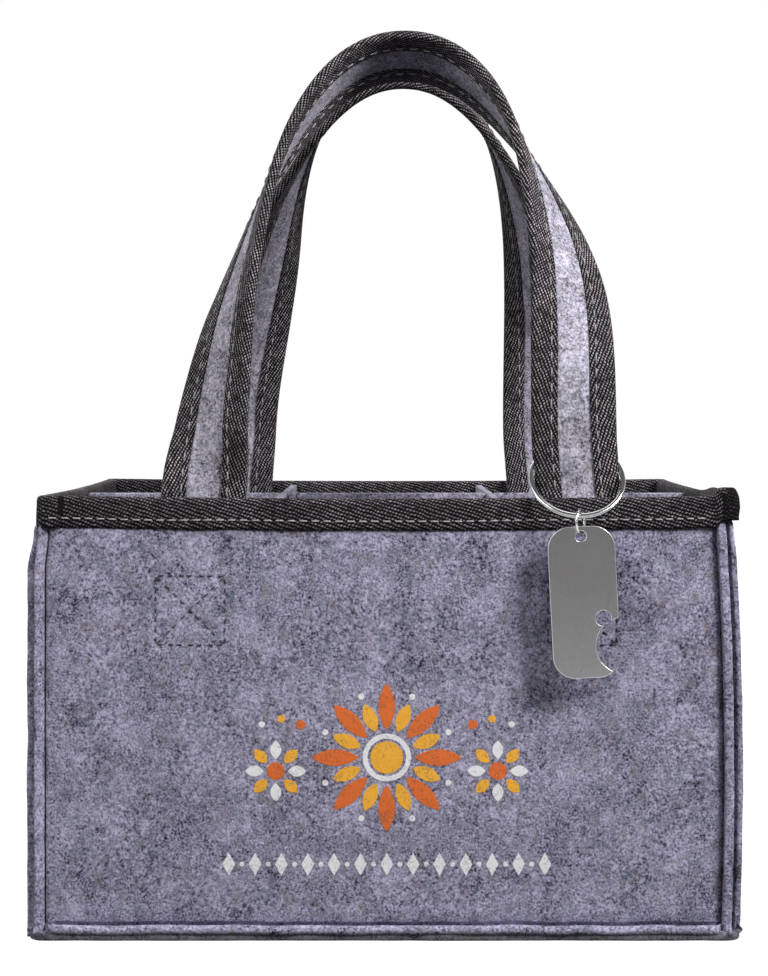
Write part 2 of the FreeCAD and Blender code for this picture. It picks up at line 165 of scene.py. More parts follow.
def slab(name, topGrid, underGrid, material):
    # two grids of the same size joined round their border, as one closed sheet
    rows, columns = len(topGrid), len(topGrid[0])
    vertices = [p for grid in (topGrid, underGrid) for row in grid for p in row]
    shift = rows * columns
    faces = []
    for i in range(rows - 1):
        for j in range(columns - 1):
            a, b = i * columns + j, (i + 1) * columns + j
            faces.append((a, a + 1, b + 1, b))
            faces.append((shift + a, shift + b, shift + b + 1, shift + a + 1))
    border = list(range(columns))
    border += [i * columns + columns - 1 for i in range(1, rows)]
    border += [(rows - 1) * columns + j for j in range(columns - 2, -1, -1)]
    border += [i * columns for i in range(rows - 2, 0, -1)]
    for a, b in zip(border, border[1:] + border[:1]):
        faces.append((a, shift + a, shift + b, b))
    return smoothPiece(name, vertices, faces, material)


# shader helpers

def addNode(tree, kind, **settings):
    node = tree.nodes.new("ShaderNode" + kind)
    for label, value in settings.items():
        setattr(node, label, value)
    return node


def feed(node, values):
    # another node's output is linked, a plain value is set
    for label, value in values.items():
        if isinstance(value, bpy.types.NodeSocket):
            node.id_data.links.new(value, node.inputs[label])
        else:
            node.inputs[label].default_value = value


def calc(operation, a, b=0.0):
    tree = (a if isinstance(a, bpy.types.NodeSocket) else b).id_data
    node = addNode(tree, "Math", operation=operation)
    feed(node, {0: a, 1: b})
    return node.outputs[0]


def calcMaker(operation):
    return lambda a, b: calc(operation, a, b)


add, take, times, over = [calcMaker(word) for word in ("ADD", "SUBTRACT", "MULTIPLY", "DIVIDE")]


def spread(value, low, high, toLow=0.0, toHigh=1.0, soft=True):
    node = addNode(value.id_data, "MapRange", interpolation_type="SMOOTHSTEP" if soft else "LINEAR")
    feed(node, {"Value": value, "From Min": low, "From Max": high, "To Min": toLow, "To Max": toHigh})
    return node.outputs["Result"]


def cloud(place, scale, detail=2.0, rough=0.5, bend=0.0):
    node = addNode(place.id_data, "TexNoise")
    feed(node, {"Vector": place, "Scale": scale, "Detail": detail, "Roughness": rough, "Distortion": bend})
    return node.outputs["Fac"]


def mixColour(share, a, b):
    node = addNode(share.id_data, "Mix", data_type="RGBA")
    first, second = [i for i, socket in enumerate(node.inputs) if socket.type == "RGBA"]
    feed(node, {"Factor": share, first: a, second: b})
    return next(socket for socket in node.outputs if socket.type == "RGBA")


def objectPlace(tree):
    return addNode(tree, "TexCoord").outputs["Object"]


def newGroup(name, inputs, outputs):
    # a tuple makes a colour socket, a number a plain one
    tree = bpy.data.node_groups.new(name, "ShaderNodeTree")
    for label, default in inputs.items():
        kind = "NodeSocketColor" if isinstance(default, tuple) else "NodeSocketFloat"
        tree.interface.new_socket(name=label, in_out="INPUT", socket_type=kind).default_value = default
    for label in outputs:
        kind = "NodeSocketColor" if label == "Colour" else "NodeSocketFloat"
        tree.interface.new_socket(name=label, in_out="OUTPUT", socket_type=kind)
    return tree, tree.nodes.new("NodeGroupInput").outputs, tree.nodes.new("NodeGroupOutput")


# shader groups: sizes are noise scales, other values shares

fibre = sheet(
    {}, fine=1200, clump=430, slow=75, mix=(0.52, 0.29, 0.19), darkCurl=430, paleCurl=370, darkStrand=0.06,
    paleStrand=0.05, contrast=(0.380, 0.620), tuft=260, warm=210)


def feltFibreGroup():
    # short pressed fibres: fine grain, curled dark and pale strands, slow clouds, cooler and warmer tufts
    tree, start, end = newGroup("feltFibres", {
        "Dark": (0.05, 0.05, 0.07, 1), "Light": (0.4, 0.4, 0.5, 1), "Tuft": (0.185, 0.215, 0.260, 1),
        "Warm": (0.235, 0.200, 0.200, 1), "Grain": 1.0}, ("Colour", "Height"))
    place = objectPlace(tree)

    def grained(size, *shape):
        return cloud(place, times(start["Grain"], fibre[size]), *shape)

    def strand(curl, level, width):
        return spread(calc("ABSOLUTE", take(curl, level)), 0.0, width, 1, 0)

    def patches(size, low, high, most):
        return spread(cloud(place, fibre[size], 2, 0.6), low, high, 0.0, most)

    layers = (grained("fine", 2, 0.65), grained("clump", 3, 0.6, 0.6), cloud(place, fibre.slow, 2, 0.5))
    fine, clump, slow = [times(layer, share) for layer, share in zip(layers, fibre.mix)]
    tone = add(add(fine, clump), slow)
    tone = take(tone, times(strand(grained("darkCurl", 1, 0.4, 2.2), 0.47, 0.022), fibre.darkStrand))
    tone = add(tone, times(strand(grained("paleCurl", 1, 0.4, 2.6), 0.54, 0.018), fibre.paleStrand))
    share = spread(tone, *fibre.contrast, soft=False)
    mottled = mixColour(share, start["Dark"], start["Light"])
    tufted = mixColour(patches("tuft", 0.48, 0.68, 0.45), mottled, start["Tuft"])
    warmed = mixColour(patches("warm", 0.54, 0.72, 0.4), tufted, start["Warm"])
    feed(end, {"Colour": warmed, "Height": tone})
    return tree


twill = sheet({}, stray=1.1, straySize=260, pickPitch=0.96, pickLean=0.72, patch=480, wear=55, sharp=1.35)


def twillGroup():
    # slanting ribs of short floats, laid out on the tape's own run
    tree, start, end = newGroup("twillRibs", {
        "Dark": (0.01, 0.01, 0.01, 1), "Light": (0.2, 0.2, 0.2, 1), "Rib": 1.25 * mm, "Lean": 0.36},
        ("Colour", "Height"))
    split = addNode(tree, "SeparateXYZ")
    feed(split, {0: addNode(tree, "UVMap", uv_map="run").outputs["UV"]})
    along, across = split.outputs["X"], split.outputs["Y"]
    place = objectPlace(tree)
    stray = times(cloud(place, twill.straySize, 3, 0.6), twill.stray)

    def wave(slant, pitch):
        return calc("SINE", times(add(over(slant, pitch), stray), 2 * math.pi))

    ribs = wave(add(across, times(along, start["Lean"])), start["Rib"])
    picks = wave(take(along, times(across, twill.pickLean)), times(start["Rib"], twill.pickPitch))
    height = times(spread(ribs, -0.7, 1.0), spread(picks, -0.8, 0.9, 0.22, 1.0))
    patchy = spread(cloud(place, twill.patch, 3, 0.7), 0.3, 0.7, 0.15, 1.0)
    worn = spread(cloud(place, twill.wear, 2, 0.5), 0.3, 0.7, 0.6, 1.0)
    shine = times(times(calc("POWER", height, twill.sharp), patchy), worn)
    feed(end, {"Colour": mixColour(shine, start["Dark"], start["Light"]), "Height": height})
    return tree


ply = sheet({}, twist=900, bend=2.0, patch=700)


def threadPlyGroup():
    tree, start, end = newGroup("threadPly", {"Dark": (0.1, 0.1, 0.1, 1), "Light": (0.5, 0.5, 0.5, 1)},
                                ("Colour", "Height"))
    place = objectPlace(tree)
    twist = addNode(tree, "TexWave", bands_direction="DIAGONAL")
    feed(twist, {"Vector": place, "Scale": ply.twist, "Distortion": ply.bend})
    patchy = spread(cloud(place, ply.patch, 2), 0.3, 0.7, 0.5, 1)
    share = times(twist.outputs["Fac"], patchy)
    feed(end, {"Colour": mixColour(share, start["Dark"], start["Light"]), "Height": share})
    return tree


handling = sheet({}, scratch=2600, scratchRough=0.06, smudge=95)


def handlingGroup():
    # fine rubbing marks and finger smudges on bare metal
    tree, start, end = newGroup("handlingMarks", {"Polish": 0.2, "Smudge": 0.15, "Stretch": 12.0},
                                ("Roughness", "Height", "Tone"))
    place = objectPlace(tree)
    longer = addNode(tree, "CombineXYZ")
    feed(longer, {0: 1.0, 1: 1.0, 2: over(1.0, start["Stretch"])})
    drawn = addNode(tree, "VectorMath", operation="MULTIPLY")
    feed(drawn, {0: place, 1: longer.outputs[0]})
    scratch = cloud(drawn.outputs[0], handling.scratch, 3, 0.7)
    smudge = spread(cloud(place, handling.smudge, 3, 0.6), 0.35, 0.65)
    rough = add(start["Polish"], times(smudge, start["Smudge"]))
    rough = add(rough, times(take(scratch, 0.5), handling.scratchRough))
    feed(end, {"Roughness": rough, "Height": scratch, "Tone": smudge})
    return tree


groups = {"felt": feltFibreGroup(), "twill": twillGroup(), "thread": threadPlyGroup(),
          "metal": handlingGroup()}


# materials: bump is strength and depth, tones are dark and light, or clean and smudged, or ink and worn ink

cloth = {
    "felt": {"bump": (0.5, 0.9 * mm), "sockets": {
        "Roughness": 0.95, "Specular IOR Level": 0.03, "Sheen Weight": 0.08, "Sheen Roughness": 0.6}},
    "twill": {"bump": (0.6, 0.35 * mm), "sockets": {"Roughness": 0.8, "Specular IOR Level": 0.06}},
    "thread": {"bump": (0.4, 0.1 * mm), "sockets": {"Roughness": 0.6}},
}
clothTones = {
    "panelFelt": ("felt", (0.014, 0.014, 0.036), (0.565, 0.532, 0.722), {"Grain": 1.0}),
    "strapFelt": ("felt", (0.050, 0.046, 0.064), (0.735, 0.692, 0.825), {"Grain": 0.9}),
    # a darker copy of the felt for the base plate: painted shade on its raw edge under the foot's lip
    "baseFelt": ("felt", (0.028, 0.026, 0.031), (0.235, 0.220, 0.255), {"Grain": 1.0}),
    "insertFelt": ("felt", (0.030, 0.028, 0.045), (0.500, 0.480, 0.600), {"Grain": 1.0}),
    "rimTape": ("twill", (0.0045, 0.004, 0.0045), (0.485, 0.432, 0.475), {"Rib": 1.44 * mm, "Lean": 0.35}),
    "strapTape": ("twill", (0.005, 0.0045, 0.005), (0.820, 0.735, 0.800), {"Rib": 1.32 * mm, "Lean": 0.40}),
    # a near-black copy of the rim tape: painted shade where the tape turns round the right front corner and
    # in the crease at its lapped end
    "foldTape": ("twill", (0.004, 0.0035, 0.004), (0.070, 0.063, 0.070), {"Rib": 1.44 * mm, "Lean": 0.35}),
    "paleThread": ("thread", (0.20, 0.195, 0.20), (0.55, 0.535, 0.55), {}),
    "darkThread": ("thread", (0.006, 0.005, 0.010), (0.024, 0.021, 0.032), {}),
}
metalBump = (0.05, 0.02 * mm)
metalTones = {
    "platedWire": ((0.66, 0.66, 0.66), (0.58, 0.58, 0.58), 0.10, 0.10, 1.0),
    "satinSteel": ((0.425, 0.413, 0.423), (0.350, 0.340, 0.348), 0.26, 0.08, 18.0),
    # a brighter copy of the satin steel: painted highlight on the opener's broken edge
    "rubbedSteel": ((0.92, 0.91, 0.92), (0.84, 0.83, 0.84), 0.30, 0.08, 1.0),
}
inkBump = (0.35, 0.5 * mm)
inkTones = {
    "inkOrange": ((0.74, 0.15, 0.022), (0.30, 0.09, 0.04)),
    "inkYellow": ((0.91, 0.44, 0.036), (0.40, 0.21, 0.06)),
    "inkWhite": ((0.86, 0.85, 0.87), (0.45, 0.44, 0.48)),
}


def newMaterial(name, group, sockets, values):
    material = bpy.data.materials.new(name)
    material.use_nodes = True
    tree = material.node_tree
    shader = tree.nodes["Principled BSDF"]
    feed(shader, sockets)
    marks = addNode(tree, "Group", node_tree=groups[group])
    feed(marks, values)
    return material, shader, marks.outputs


def addBump(shader, height, bump):
    node = addNode(shader.id_data, "Bump")
    feed(node, {"Strength": bump[0], "Distance": bump[1], "Height": height})
    feed(shader, {"Normal": node.outputs["Normal"]})


def clothMaterial(name, group, dark, light, more):
    values = {"Dark": (*dark, 1), "Light": (*light, 1), **more}
    material, shader, weave = newMaterial(name, group, cloth[group]["sockets"], values)
    feed(shader, {"Base Color": weave["Colour"]})
    addBump(shader, weave["Height"], cloth[group]["bump"])
    return material


def metalMaterial(name, clean, smudged, polish, smudge, stretch):
    values = {"Polish": polish, "Smudge": smudge, "Stretch": stretch}
    material, shader, marks = newMaterial(name, "metal", {"Metallic": 1.0}, values)
    tone = mixColour(marks["Tone"], (*clean, 1), (*smudged, 1))
    feed(shader, {"Base Color": tone, "Roughness": marks["Roughness"]})
    addBump(shader, marks["Height"], metalBump)
    return material


def inkMaterial(name, colour, worn):
    # a thin print that lets the felt's darker fibres show through
    material, shader, fibres = newMaterial(name, "felt", {"Roughness": 0.75}, {"Grain": 1.0})
    share = spread(fibres["Height"], 0.40, 0.50, 0.35, 1.0)
    feed(shader, {"Base Color": mixColour(share, (*worn, 1), (*colour, 1))})
    addBump(shader, fibres["Height"], inkBump)
    return material


finish = {}
for make, tones in ((clothMaterial, clothTones), (metalMaterial, metalTones), (inkMaterial, inkTones)):
    for finishName, values in tones.items():
        finish[finishName] = make(finishName, *values)
print("stage: materials", len(finish))


# the bag as sewn: nominal walls that one soft set moves together; a zone is a start and a run

bag = sheet(
    dict(halfWidth=125.5, halfDepth=82.5, felt=3.0, underCrown=0.8, step=1.7, bowFront=1.5, bowSide=1.1,
         mouthSag=1.3, rightDrop=0.15, cornerUp=2.6, ripple=0.35, rippleSize=26, rippleFrom=5, rippleRun=25,
         nap=0.10, napSize=4.5),
    sideSag=0.6, lean=(1.4 * mm, -6.4 * mm, 8.9 * mm))
zones = {"wall": (0.84, 0.12), "side": (0.9, 0.08), "leanX": (0.7, 0.3), "leanY": (0.35, 0.6),
         "upX": (1 - 4 * mm / bag.halfWidth, 3 * mm / bag.halfWidth), "upY": (0.2, 0.6), "upZ": (0.5, 0.5)}


def inZone(value, zone):
    start, run = zones[zone]
    return smooth((value - start) / run)


def softSet(p):
    # walls bow out at mid height, the mouth sags between its corners, the right front corner leans in
    x, y = p.x / bag.halfWidth, p.y / bag.halfDepth
    high = min(max(p.z / rimTop, 0.0), 1.0)
    belly = math.sin(math.pi * high)
    toFront, toBack, toSide = inZone(-y, "wall"), inZone(y, "wall"), inZone(abs(x), "side")
    archX = max(math.cos(math.pi / 2 * x / 1.03), 0.0)
    archY = max(math.cos(math.pi / 2 * y / 1.05), 0.0)
    moved = p.copy()
    moved.y += bag.bowFront * archX * belly * (toBack - toFront)
    moved.x += math.copysign(bag.bowSide * archY * belly * toSide, p.x)
    sag = bag.mouthSag * (archX ** 0.8 * max(toFront, toBack) + bag.sideSag * archY * toSide)
    moved.z -= (sag + bag.rightDrop * smooth(x)) * smooth(high)
    start, slope, curve = bag.lean
    moved.x -= inZone(x, "leanX") * inZone(-y, "leanY") * (start + slope * high + curve * high ** 2)
    moved.z += bag.cornerUp * inZone(x, "upX") * inZone(-y, "upY") * inZone(high, "upZ")
    return moved


def seamEnd(fin, groove, taper=1.0, recess=0.0, deep=1.0):
    return {"fin": fin, "groove": groove * mm, "taper": taper, "recess": recess, "deep": deep}


def sewnWall(along, out, seed, left, right):
    half, reach = bag.halfWidth, bag.halfDepth
    if along[1]:
        half, reach = reach, half
    return {"along": Vector(along), "out": Vector(out), "seed": seed, "half": half, "reach": reach,
            "ends": {-1: left, 1: right}}


walls = {
    "front_panel": sewnWall((1, 0, 0), (0, -1, 0), 1.0, seamEnd("ramp", 0.0),
                            seamEnd("proud", -1.2, 0.2, 1.6)),
    "back_panel": sewnWall((-1, 0, 0), (0, 1, 0), 2.0, seamEnd("proud", -1.4, 1.0, 1.6),
                           seamEnd("ramp", -0.6, 0.8)),
    "left_side_panel": sewnWall((0, -1, 0), (-1, 0, 0), 3.0, seamEnd("ramp", -1.2, 0.8, 1.6, 1.46),
                                seamEnd("ramp", -0.4, 1.0, 1.6, 1.46)),
    "right_side_panel": sewnWall((0, 1, 0), (1, 0, 0), 4.0, seamEnd("ramp", -0.3, 0.2, 1.6, 1.14),
                                 seamEnd("ramp", -1.5, 1.0, 1.6, 1.46)),
}


def wallPlace(wall, s, z, d):
    return softSet(wall["along"] * s + wall["out"] * (wall["reach"] + d) + up * z)


def wallRipple(wall, s, z):
    return uneven(s, wall["seed"], z, bag.rippleSize, bag.ripple)


def wallNap(wall, s, z):
    return uneven(s, wall["seed"] + 7, z, bag.napSize, bag.nap)


# stitched boxes on the front and back walls

boxStitch = sheet(
    dict(side=25, dent=0.5, dentWidth=0.9, dash=2.1, gap=1.7, thread=0.24),
    sunk=0.45, share=(0.22, 0.74), walls={"front_panel": "front", "back_panel": "rear"},
    nudge={"front_left": (-0.9 * mm, 0.7 * mm), "front_right": (-2.4 * mm, 0.7 * mm)})


def boxCentres(name):
    end = boxStitch.walls.get(name)
    centres = []
    for hand in ("left", "right") if end else ():
        low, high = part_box(f"{end}_{hand}_box_stitch")
        middle = (low + high) / 2
        aside, higher = boxStitch.nudge.get(f"{end}_{hand}", (0.0, 0.0))
        centres.append((middle.dot(walls[name]["along"]) + aside, middle.z + higher))
    return centres


def boxLines(centre):
    s, z = centre
    half = boxStitch.side / 2
    a, b, c, d = (s - half, z - half), (s + half, z - half), (s + half, z + half), (s - half, z + half)
    return [(a, b), (b, c), (c, d), (d, a), (a, c), (b, d)]


def distanceToLine(s, z, line):
    (s0, z0), (s1, z1) = line
    ds, dz = s1 - s0, z1 - z0
    share = min(max(((s - s0) * ds + (z - z0) * dz) / (ds * ds + dz * dz), 0.0), 1.0)
    return math.hypot(s - s0 - share * ds, z - z0 - share * dz)


def stitchDent(centres, s, z):
    dent = 0.0
    reach = 0.75 * boxStitch.side
    for centre in centres:
        if abs(s - centre[0]) < reach and abs(z - centre[1]) < reach:
            near = min(distanceToLine(s, z, line) for line in boxLines(centre))
            dent = max(dent, boxStitch.dent * bell(near / boxStitch.dentWidth))
    return dent


# sections of a corner fin and of the foot, in millimetres: offset past the wall's end or height, and depth

finSkin = {
    "ramp": [(-7, 0), (-4.2, 0.1), (-3.1, 0.1), (-2.65, 0), (-2.45, -0.3), (-2.3, -1.5), (-2.2, -1.9),
             (-2.1, -1.4), (-1.95, -0.3), (-1.75, 0.35), (-1.3, 0.95), (-0.8, 1.5), (-0.2, 2.1), (0.4, 2.65),
             (0.9, 2.95), (1.2, 2.8), (1.33, 2.2), (1.3, 1.6)],
    "proud": [(-7, 0), (-4.4, 0.05), (-3.7, -0.05), (-3.2, -0.3), (-2.8, -0.8), (-2.5, -1.5), (-2.2, -1.9),
              (-2.08, -1.2), (-2.0, 0.2), (-1.93, 1.1), (-1.82, 1.7), (-1.6, 2.0), (-1.0, 2.1), (-0.2, 2.1),
              (0.5, 2.08), (1.0, 1.95), (1.3, 1.75), (1.3, 1.55)]}
finLining = [(e, -3) for e in (-7, -5.8, -5.1, -4.6, -4.2, -3.9, -3.6, -3.3)]
finLining += [(e, e + 0.25) for e in (-3.1, -2.6, -2.1, -1.6, -1.1, -0.6, -0.1, 0.4, 0.8, 1.15)]
grooveShare = [1, 1, 1, 1, 1, 1, 1, 1, 1, 0.95, 0.9, 0.8, 0.6, 0.35, 0.15, 0.05, 0, 0]
footSkin = [(2.4, 2.9), (1.95, 3.1), (2.05, 3.5), (2.7, 4.15), (3.75, 4.6), (4.8, 4.35), (5.45, 3.6),
            (5.5, 2.8), (5.1, 1.7), (4.5, 0.5), (4.2, -0.5), (4.25, -1.4), (4.75, -1.8), (5.4, -1.4),
            (5.85, -0.2), (6.25, -0.02), (10.5, 0)]
footLining = [(3.1, d) for d in (3.2, 3.0, 2.7, 2.3, 1.9, 1.5, 1.1, 0.6, 0.1, -0.5, -1.2, -2.2)]
footLining += [(3.3, -2.9), (4.2, -3), (6.0, -3), (7.0, -3), (10.5, -3)]
seam = sheet(
    dict(inset=7, looseSize=14, grooveAt=2.2, pinch=1.3),
    foldFrom=8, taperLow=(132 * mm, 15 * mm), taperTop=(148.3 * mm, 2.5 * mm), loose=0.4, flatSkin=-0.8,
    flatLining=-1.9, flatDip=0.9, pinched=0.9)
foot = sheet(
    dict(wave=0.5, waveSize=17, waveFrom=3, lip=0.5, lipSize=13, pastFrom=-0.3, pastRun=0.9),
    finLow=0.5)


def finSection(wall, side, z):
    # the fin tapers away under the rim tape
    end = wall["ends"][side]
    early = 0.5 * end["taper"]
    low, top = [smooth((z - start) / run) for start, run in (seam.taperLow, seam.taperTop)]
    taper = early * low + (1 - early) * top
    shift = end["groove"] * (1 - taper)
    skin, lining = [], []
    for k, ((e, d), (eIn, dIn)) in enumerate(zip(finSkin[end["fin"]], finLining)):
        folded = k - seam.foldFrom
        loose = uneven(k * 0.4, z, wall["seed"] + side, seam.looseSize, seam.loose) * smooth(folded / 3)
        short = end["recess"] * smooth(folded / 6)
        share = k / (len(finLining) - 1)
        flatE, flatIn = [between(finLining[0][0], stop, share) for stop in (seam.flatSkin, seam.flatLining)]
        e = between(e - short + loose, flatE, taper)
        deep = between(1, end["deep"], smooth(folded / 5))
        d = between(d * deep + 0.6 * loose, -seam.flatDip * share ** 4, taper)
        eIn = between(eIn - short, flatIn, taper)
        dIn = between(dIn, max(finLining[0][1], flatIn - 0.2), taper)
        skin.append((wall["half"] + e * mm + shift * grooveShare[k], d * mm))
        lining.append((wall["half"] + eIn * mm + (shift if folded < 0 else 0), dIn * mm))
    return list(zip(skin, lining))


def panelRows():
    # the foot's rows, then even rows up to just under the rim tape's crown
    rows = [(z * mm, d * mm, zIn * mm, dIn * mm) for (z, d), (zIn, dIn) in zip(footSkin, footLining)]
    start, top = rows[-1][0], rimTop - bag.underCrown
    count = round((top - start) / bag.step)
    heights = [between(start, top, i / count) for i in range(1, count + 1)]
    return rows + [(z, 0.0, z, -bag.felt) for z in heights]


def panelSpots(wall, z):
    ends = [side * (wall["half"] - seam.inset + wall["ends"][side]["groove"]) for side in (-1, 1)]
    count = round((ends[1] - ends[0]) / bag.step)
    flat = [between(*ends, j / count) for j in range(1, count)]
    spots = [(-s, d, -sIn, dIn) for (s, d), (sIn, dIn) in reversed(finSection(wall, -1, z))]
    spots += [(s, 0.0, s, -bag.felt) for s in flat]
    return spots + [(s, d, sIn, dIn) for (s, d), (sIn, dIn) in finSection(wall, 1, z)]


def footPlace(wall, row, s, z, d, dFin):
    # the turned-out foot stops at the groove; past it the fin runs straight down
    last = len(footSkin) - 1
    past = abs(s) - (wall["half"] - seam.grooveAt + wall["ends"][1 if s > 0 else -1]["groove"])
    tuck = d * (1 - seam.pinched * bell(past / seam.pinch)) if d > 0 else d
    depth = max(dFin, tuck) if dFin > 0 or d > 0 else min(dFin, tuck)
    depth += uneven(s, wall["seed"], 0, foot.waveSize, foot.wave) * smooth(d / foot.waveFrom)
    lip = uneven(s, wall["seed"] + 3, 0, foot.lipSize, foot.lip) if 0 < row < last else 0.0
    straight = between(foot.finLow, footSkin[-1][0], row / last) * mm
    return between(z + lip, straight, smooth((past - foot.pastFrom) / foot.pastRun)), depth


def buildPanel(name):
    wall = walls[name]
    centres = boxCentres(name)
    skinGrid, liningGrid = [], []
    for row, (z, d, zIn, dIn) in enumerate(panelRows()):
        skinRow, liningRow = [], []
        for s, dFin, sIn, dFinIn in panelSpots(wall, z):
            rise, depth = z, dFin
            if row < len(footSkin):
                rise, depth = footPlace(wall, row, s, z, d, dFin)
            depth += wallRipple(wall, s, z) * smooth((z - bag.rippleFrom) / bag.rippleRun)
            depth += wallNap(wall, s, z) - stitchDent(centres, s, z)
            skinRow.append(wallPlace(wall, s, rise, depth))
            liningRow.append(wallPlace(wall, sIn, zIn, max(dFinIn, dIn)))
        skinGrid.append(skinRow)
        liningGrid.append(liningRow)
    dress(slab(name + "_felt", skinGrid, liningGrid, finish["panelFelt"]), "bag", "felt", name)


for wallName in walls:
    buildPanel(wallName)
print("stage: felt panels")


# base plate with a raw edge

basePlate = sheet(
    dict(corner=6, round=0.55, fray=0.4, fraySize=9, inset=0.7, step=3.0, rimWidth=8),
    cornerSteps=6)


def roundedLoop(halfX, halfY, radius, step, cornerSteps):
    # points and outward directions round a rectangle, anticlockwise from the front right
    spots = []
    corners = [(1, -1, -90), (1, 1, 0), (-1, 1, 90), (-1, -1, 180)]
    for i, (sx, sy, first) in enumerate(corners):
        for k in range(cornerSteps + 1):
            turn = math.radians(first + 90 * k / cornerSteps)
            way = Vector((math.cos(turn), math.sin(turn), 0))
            spots.append((Vector((sx * (halfX - radius), sy * (halfY - radius), 0)) + way * radius, way))
        start, way = spots[-1]
        nx, ny, _ = corners[(i + 1) % 4]
        target = Vector((nx * (halfX - radius), ny * (halfY - radius), 0)) + way * radius
        count = max(2, round((target - start).length / step))
        spots += [(start.lerp(target, k / count), way) for k in range(1, count)]
    return spots


def buildBase():
    low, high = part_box("base_panel")
    half, thick = (high - low) / 2, high.z - low.z
    outline = roundedLoop(half.x, half.y, basePlate.corner, basePlate.step, basePlate.cornerSteps)
    lip, flat = basePlate.round, basePlate.rimWidth
    section = [(-flat, 0), (-lip, 0), (-0.3 * lip, 0.3 * lip), (0, lip)]
    section += [(inward, thick - z) for inward, z in reversed(section)]
    rings = []
    for inward, z in section:
        ring = []
        for p, way in outline:
            fray = uneven(p.x, p.y, z, basePlate.fraySize, basePlate.fray) - basePlate.inset
            ring.append(softSet(p + way * (inward + fray) + up * z))
        rings.append(ring)
    # the base plate takes the darker felt, painted shade under the foot's lip
    dress(loft("base_felt", rings, finish["baseFelt"]), "bag", "felt", "base_panel")


buildBase()


# thread: short dashes that dip into the cloth at both ends; a profile row is place, lift and width

dashSides = 6
dashProfile = [(0, -0.7, 0.55), (0.14, 0.45, 0.95), (0.5, 0.75, 1.0), (0.86, 0.45, 0.95), (1, -0.7, 0.55)]


def dashMesh(name, dashes, radius, material):
    vertices, faces = [], []
    turns = [2 * math.pi * k / dashSides for k in range(dashSides)]
    for a, b, normal in dashes:
        across = (b - a).normalized().cross(normal).normalized()
        first = len(vertices)
        for place, lift, width in dashProfile:
            centre = a.lerp(b, place) + normal * (lift * radius)
            for turn in turns:
                way = across * math.cos(turn) + normal * math.sin(turn)
                vertices.append(centre + way * (width * radius))
        rings = [[first + i * dashSides + k for k in range(dashSides)] for i in range(len(dashProfile))]
        for ring, following in zip(rings, rings[1:]):
            for k in range(dashSides):
                n = (k + 1) % dashSides
                faces.append((ring[k], ring[n], following[n], following[k]))
        faces += [tuple(rings[0]), tuple(rings[-1])]
    return smoothPiece(name, vertices, faces, material)


def boxDashes(wall, line):
    (s0, z0), (s1, z1) = line
    count = max(1, round(math.hypot(s1 - s0, z1 - z0) / (boxStitch.dash + boxStitch.gap)))
    dashes = []
    for k in range(count):
        ends = []
        for share, (s, z) in zip(boxStitch.share, line):
            share = (k + share + uneven(k, s, z, 0.3, 0.2)) / count
            s, z = between(s0, s1, share), between(z0, z1, share)
            lie = wallRipple(wall, s, z) - boxStitch.sunk * boxStitch.dent
            ends.append(wallPlace(wall, s, z, lie))
        dashes.append((*ends, wall["out"]))
    return dashes


for wallName, wallEnd in boxStitch.walls.items():
    for hand, boxCentre in zip(("left", "right"), boxCentres(wallName)):
        boxThread = [dash for line in boxLines(boxCentre) for dash in boxDashes(walls[wallName], line)]
        stitch = dashMesh(f"{wallEnd}_{hand}_box_thread", boxThread, boxStitch.thread, finish["darkThread"])
        dress(stitch, "bag", "dark_thread", f"{wallEnd}_{hand}_box_stitch")


# rim tape folded over the mouth

rim = sheet(
    dict(halfFelt=1.5, room=0.06, tape=0.55, drop=11.4, corner=1.4, step=1.0, wander=0.45, wanderSize=16,
         puff=0.25, puffSize=19, bulge=0.12, stitchDrop=8.1, dash=2.9, gap=1.4, shortest=1.5, thread=0.32,
         threadWander=0.35, threadSize=30, swell=0.9, swellReach=6, lapAt=-117.6, lap=0.4, lapDent=0.55,
         lapWidth=0.55, foldReach=3.4, foldUp=0.5, foldDrop=5, foldFrom=121.4, creaseSize=1.6, frontDepth=6),
    cornerSteps=9, share=(0.16, 0.84), fold=Vector((4.3, -1.2, 0)) * mm, crease=0.12)
rimCrown = [(1.0, 1.9), (0.86, 0.75), (0.45, 0.12), (0.0, 0.0), (-0.45, 0.12), (-0.86, 0.75), (-1.0, 1.9)]


def rimLoop(step):
    middle = [bag[half] - rim.halfFelt for half in ("halfWidth", "halfDepth")]
    return roundedLoop(*middle, rim.corner, step, rim.cornerSteps)


def nearCorner(x, y, reach):
    gap = math.hypot(x - (bag.halfWidth - rim.halfFelt), y - (bag.halfDepth - rim.halfFelt))
    return bell(gap / reach)


def rimPlace(p, way, out, drop):
    # the tape swells over the seams and bunches at the right front corner
    outside = smooth(out / mm + 0.5)
    puff = uneven(p.x, p.y, drop, rim.puffSize, rim.puff)
    puff += rim.swell * nearCorner(abs(p.x), abs(p.y), rim.swellReach)
    if way.y < -0.9:
        # the tape's end is lapped over at the left of the front
        past = (rim.lapAt - p.x) / mm
        puff += rim.lap * smooth(past) - rim.lapDent * bell(past + 0.3)
    fold = nearCorner(p.x, -p.y, rim.foldReach)
    creased = 1 - rim.crease * math.cos(drop / rim.creaseSize)
    rise = rim.foldUp * fold * smooth(1 - drop / rim.foldDrop)
    bunch = rim.fold * (fold * outside * creased)
    return softSet(p + way * (out + puff * outside) + bunch + up * (rimTop - drop + rise))


def rimThread(outer):
    dashes = []
    outline = rimLoop(rim.dash + rim.gap)
    for (p, way), (q, _) in zip(outline, outline[1:] + outline[:1]):
        if (q - p).length < rim.shortest:
            continue
        for out in (outer + rim.bulge, -outer):
            ends = []
            for share in rim.share:
                spot = p.lerp(q, share)
                wander = uneven(spot.x, spot.y, 5, rim.threadSize, rim.threadWander)
                ends.append(rimPlace(spot, way, out, rim.stitchDrop + wander))
            if max(e.x for e in ends) < rim.foldFrom or ends[0].y > 0:
                dashes.append((*ends, way if out > 0 else -way))
    return dashes


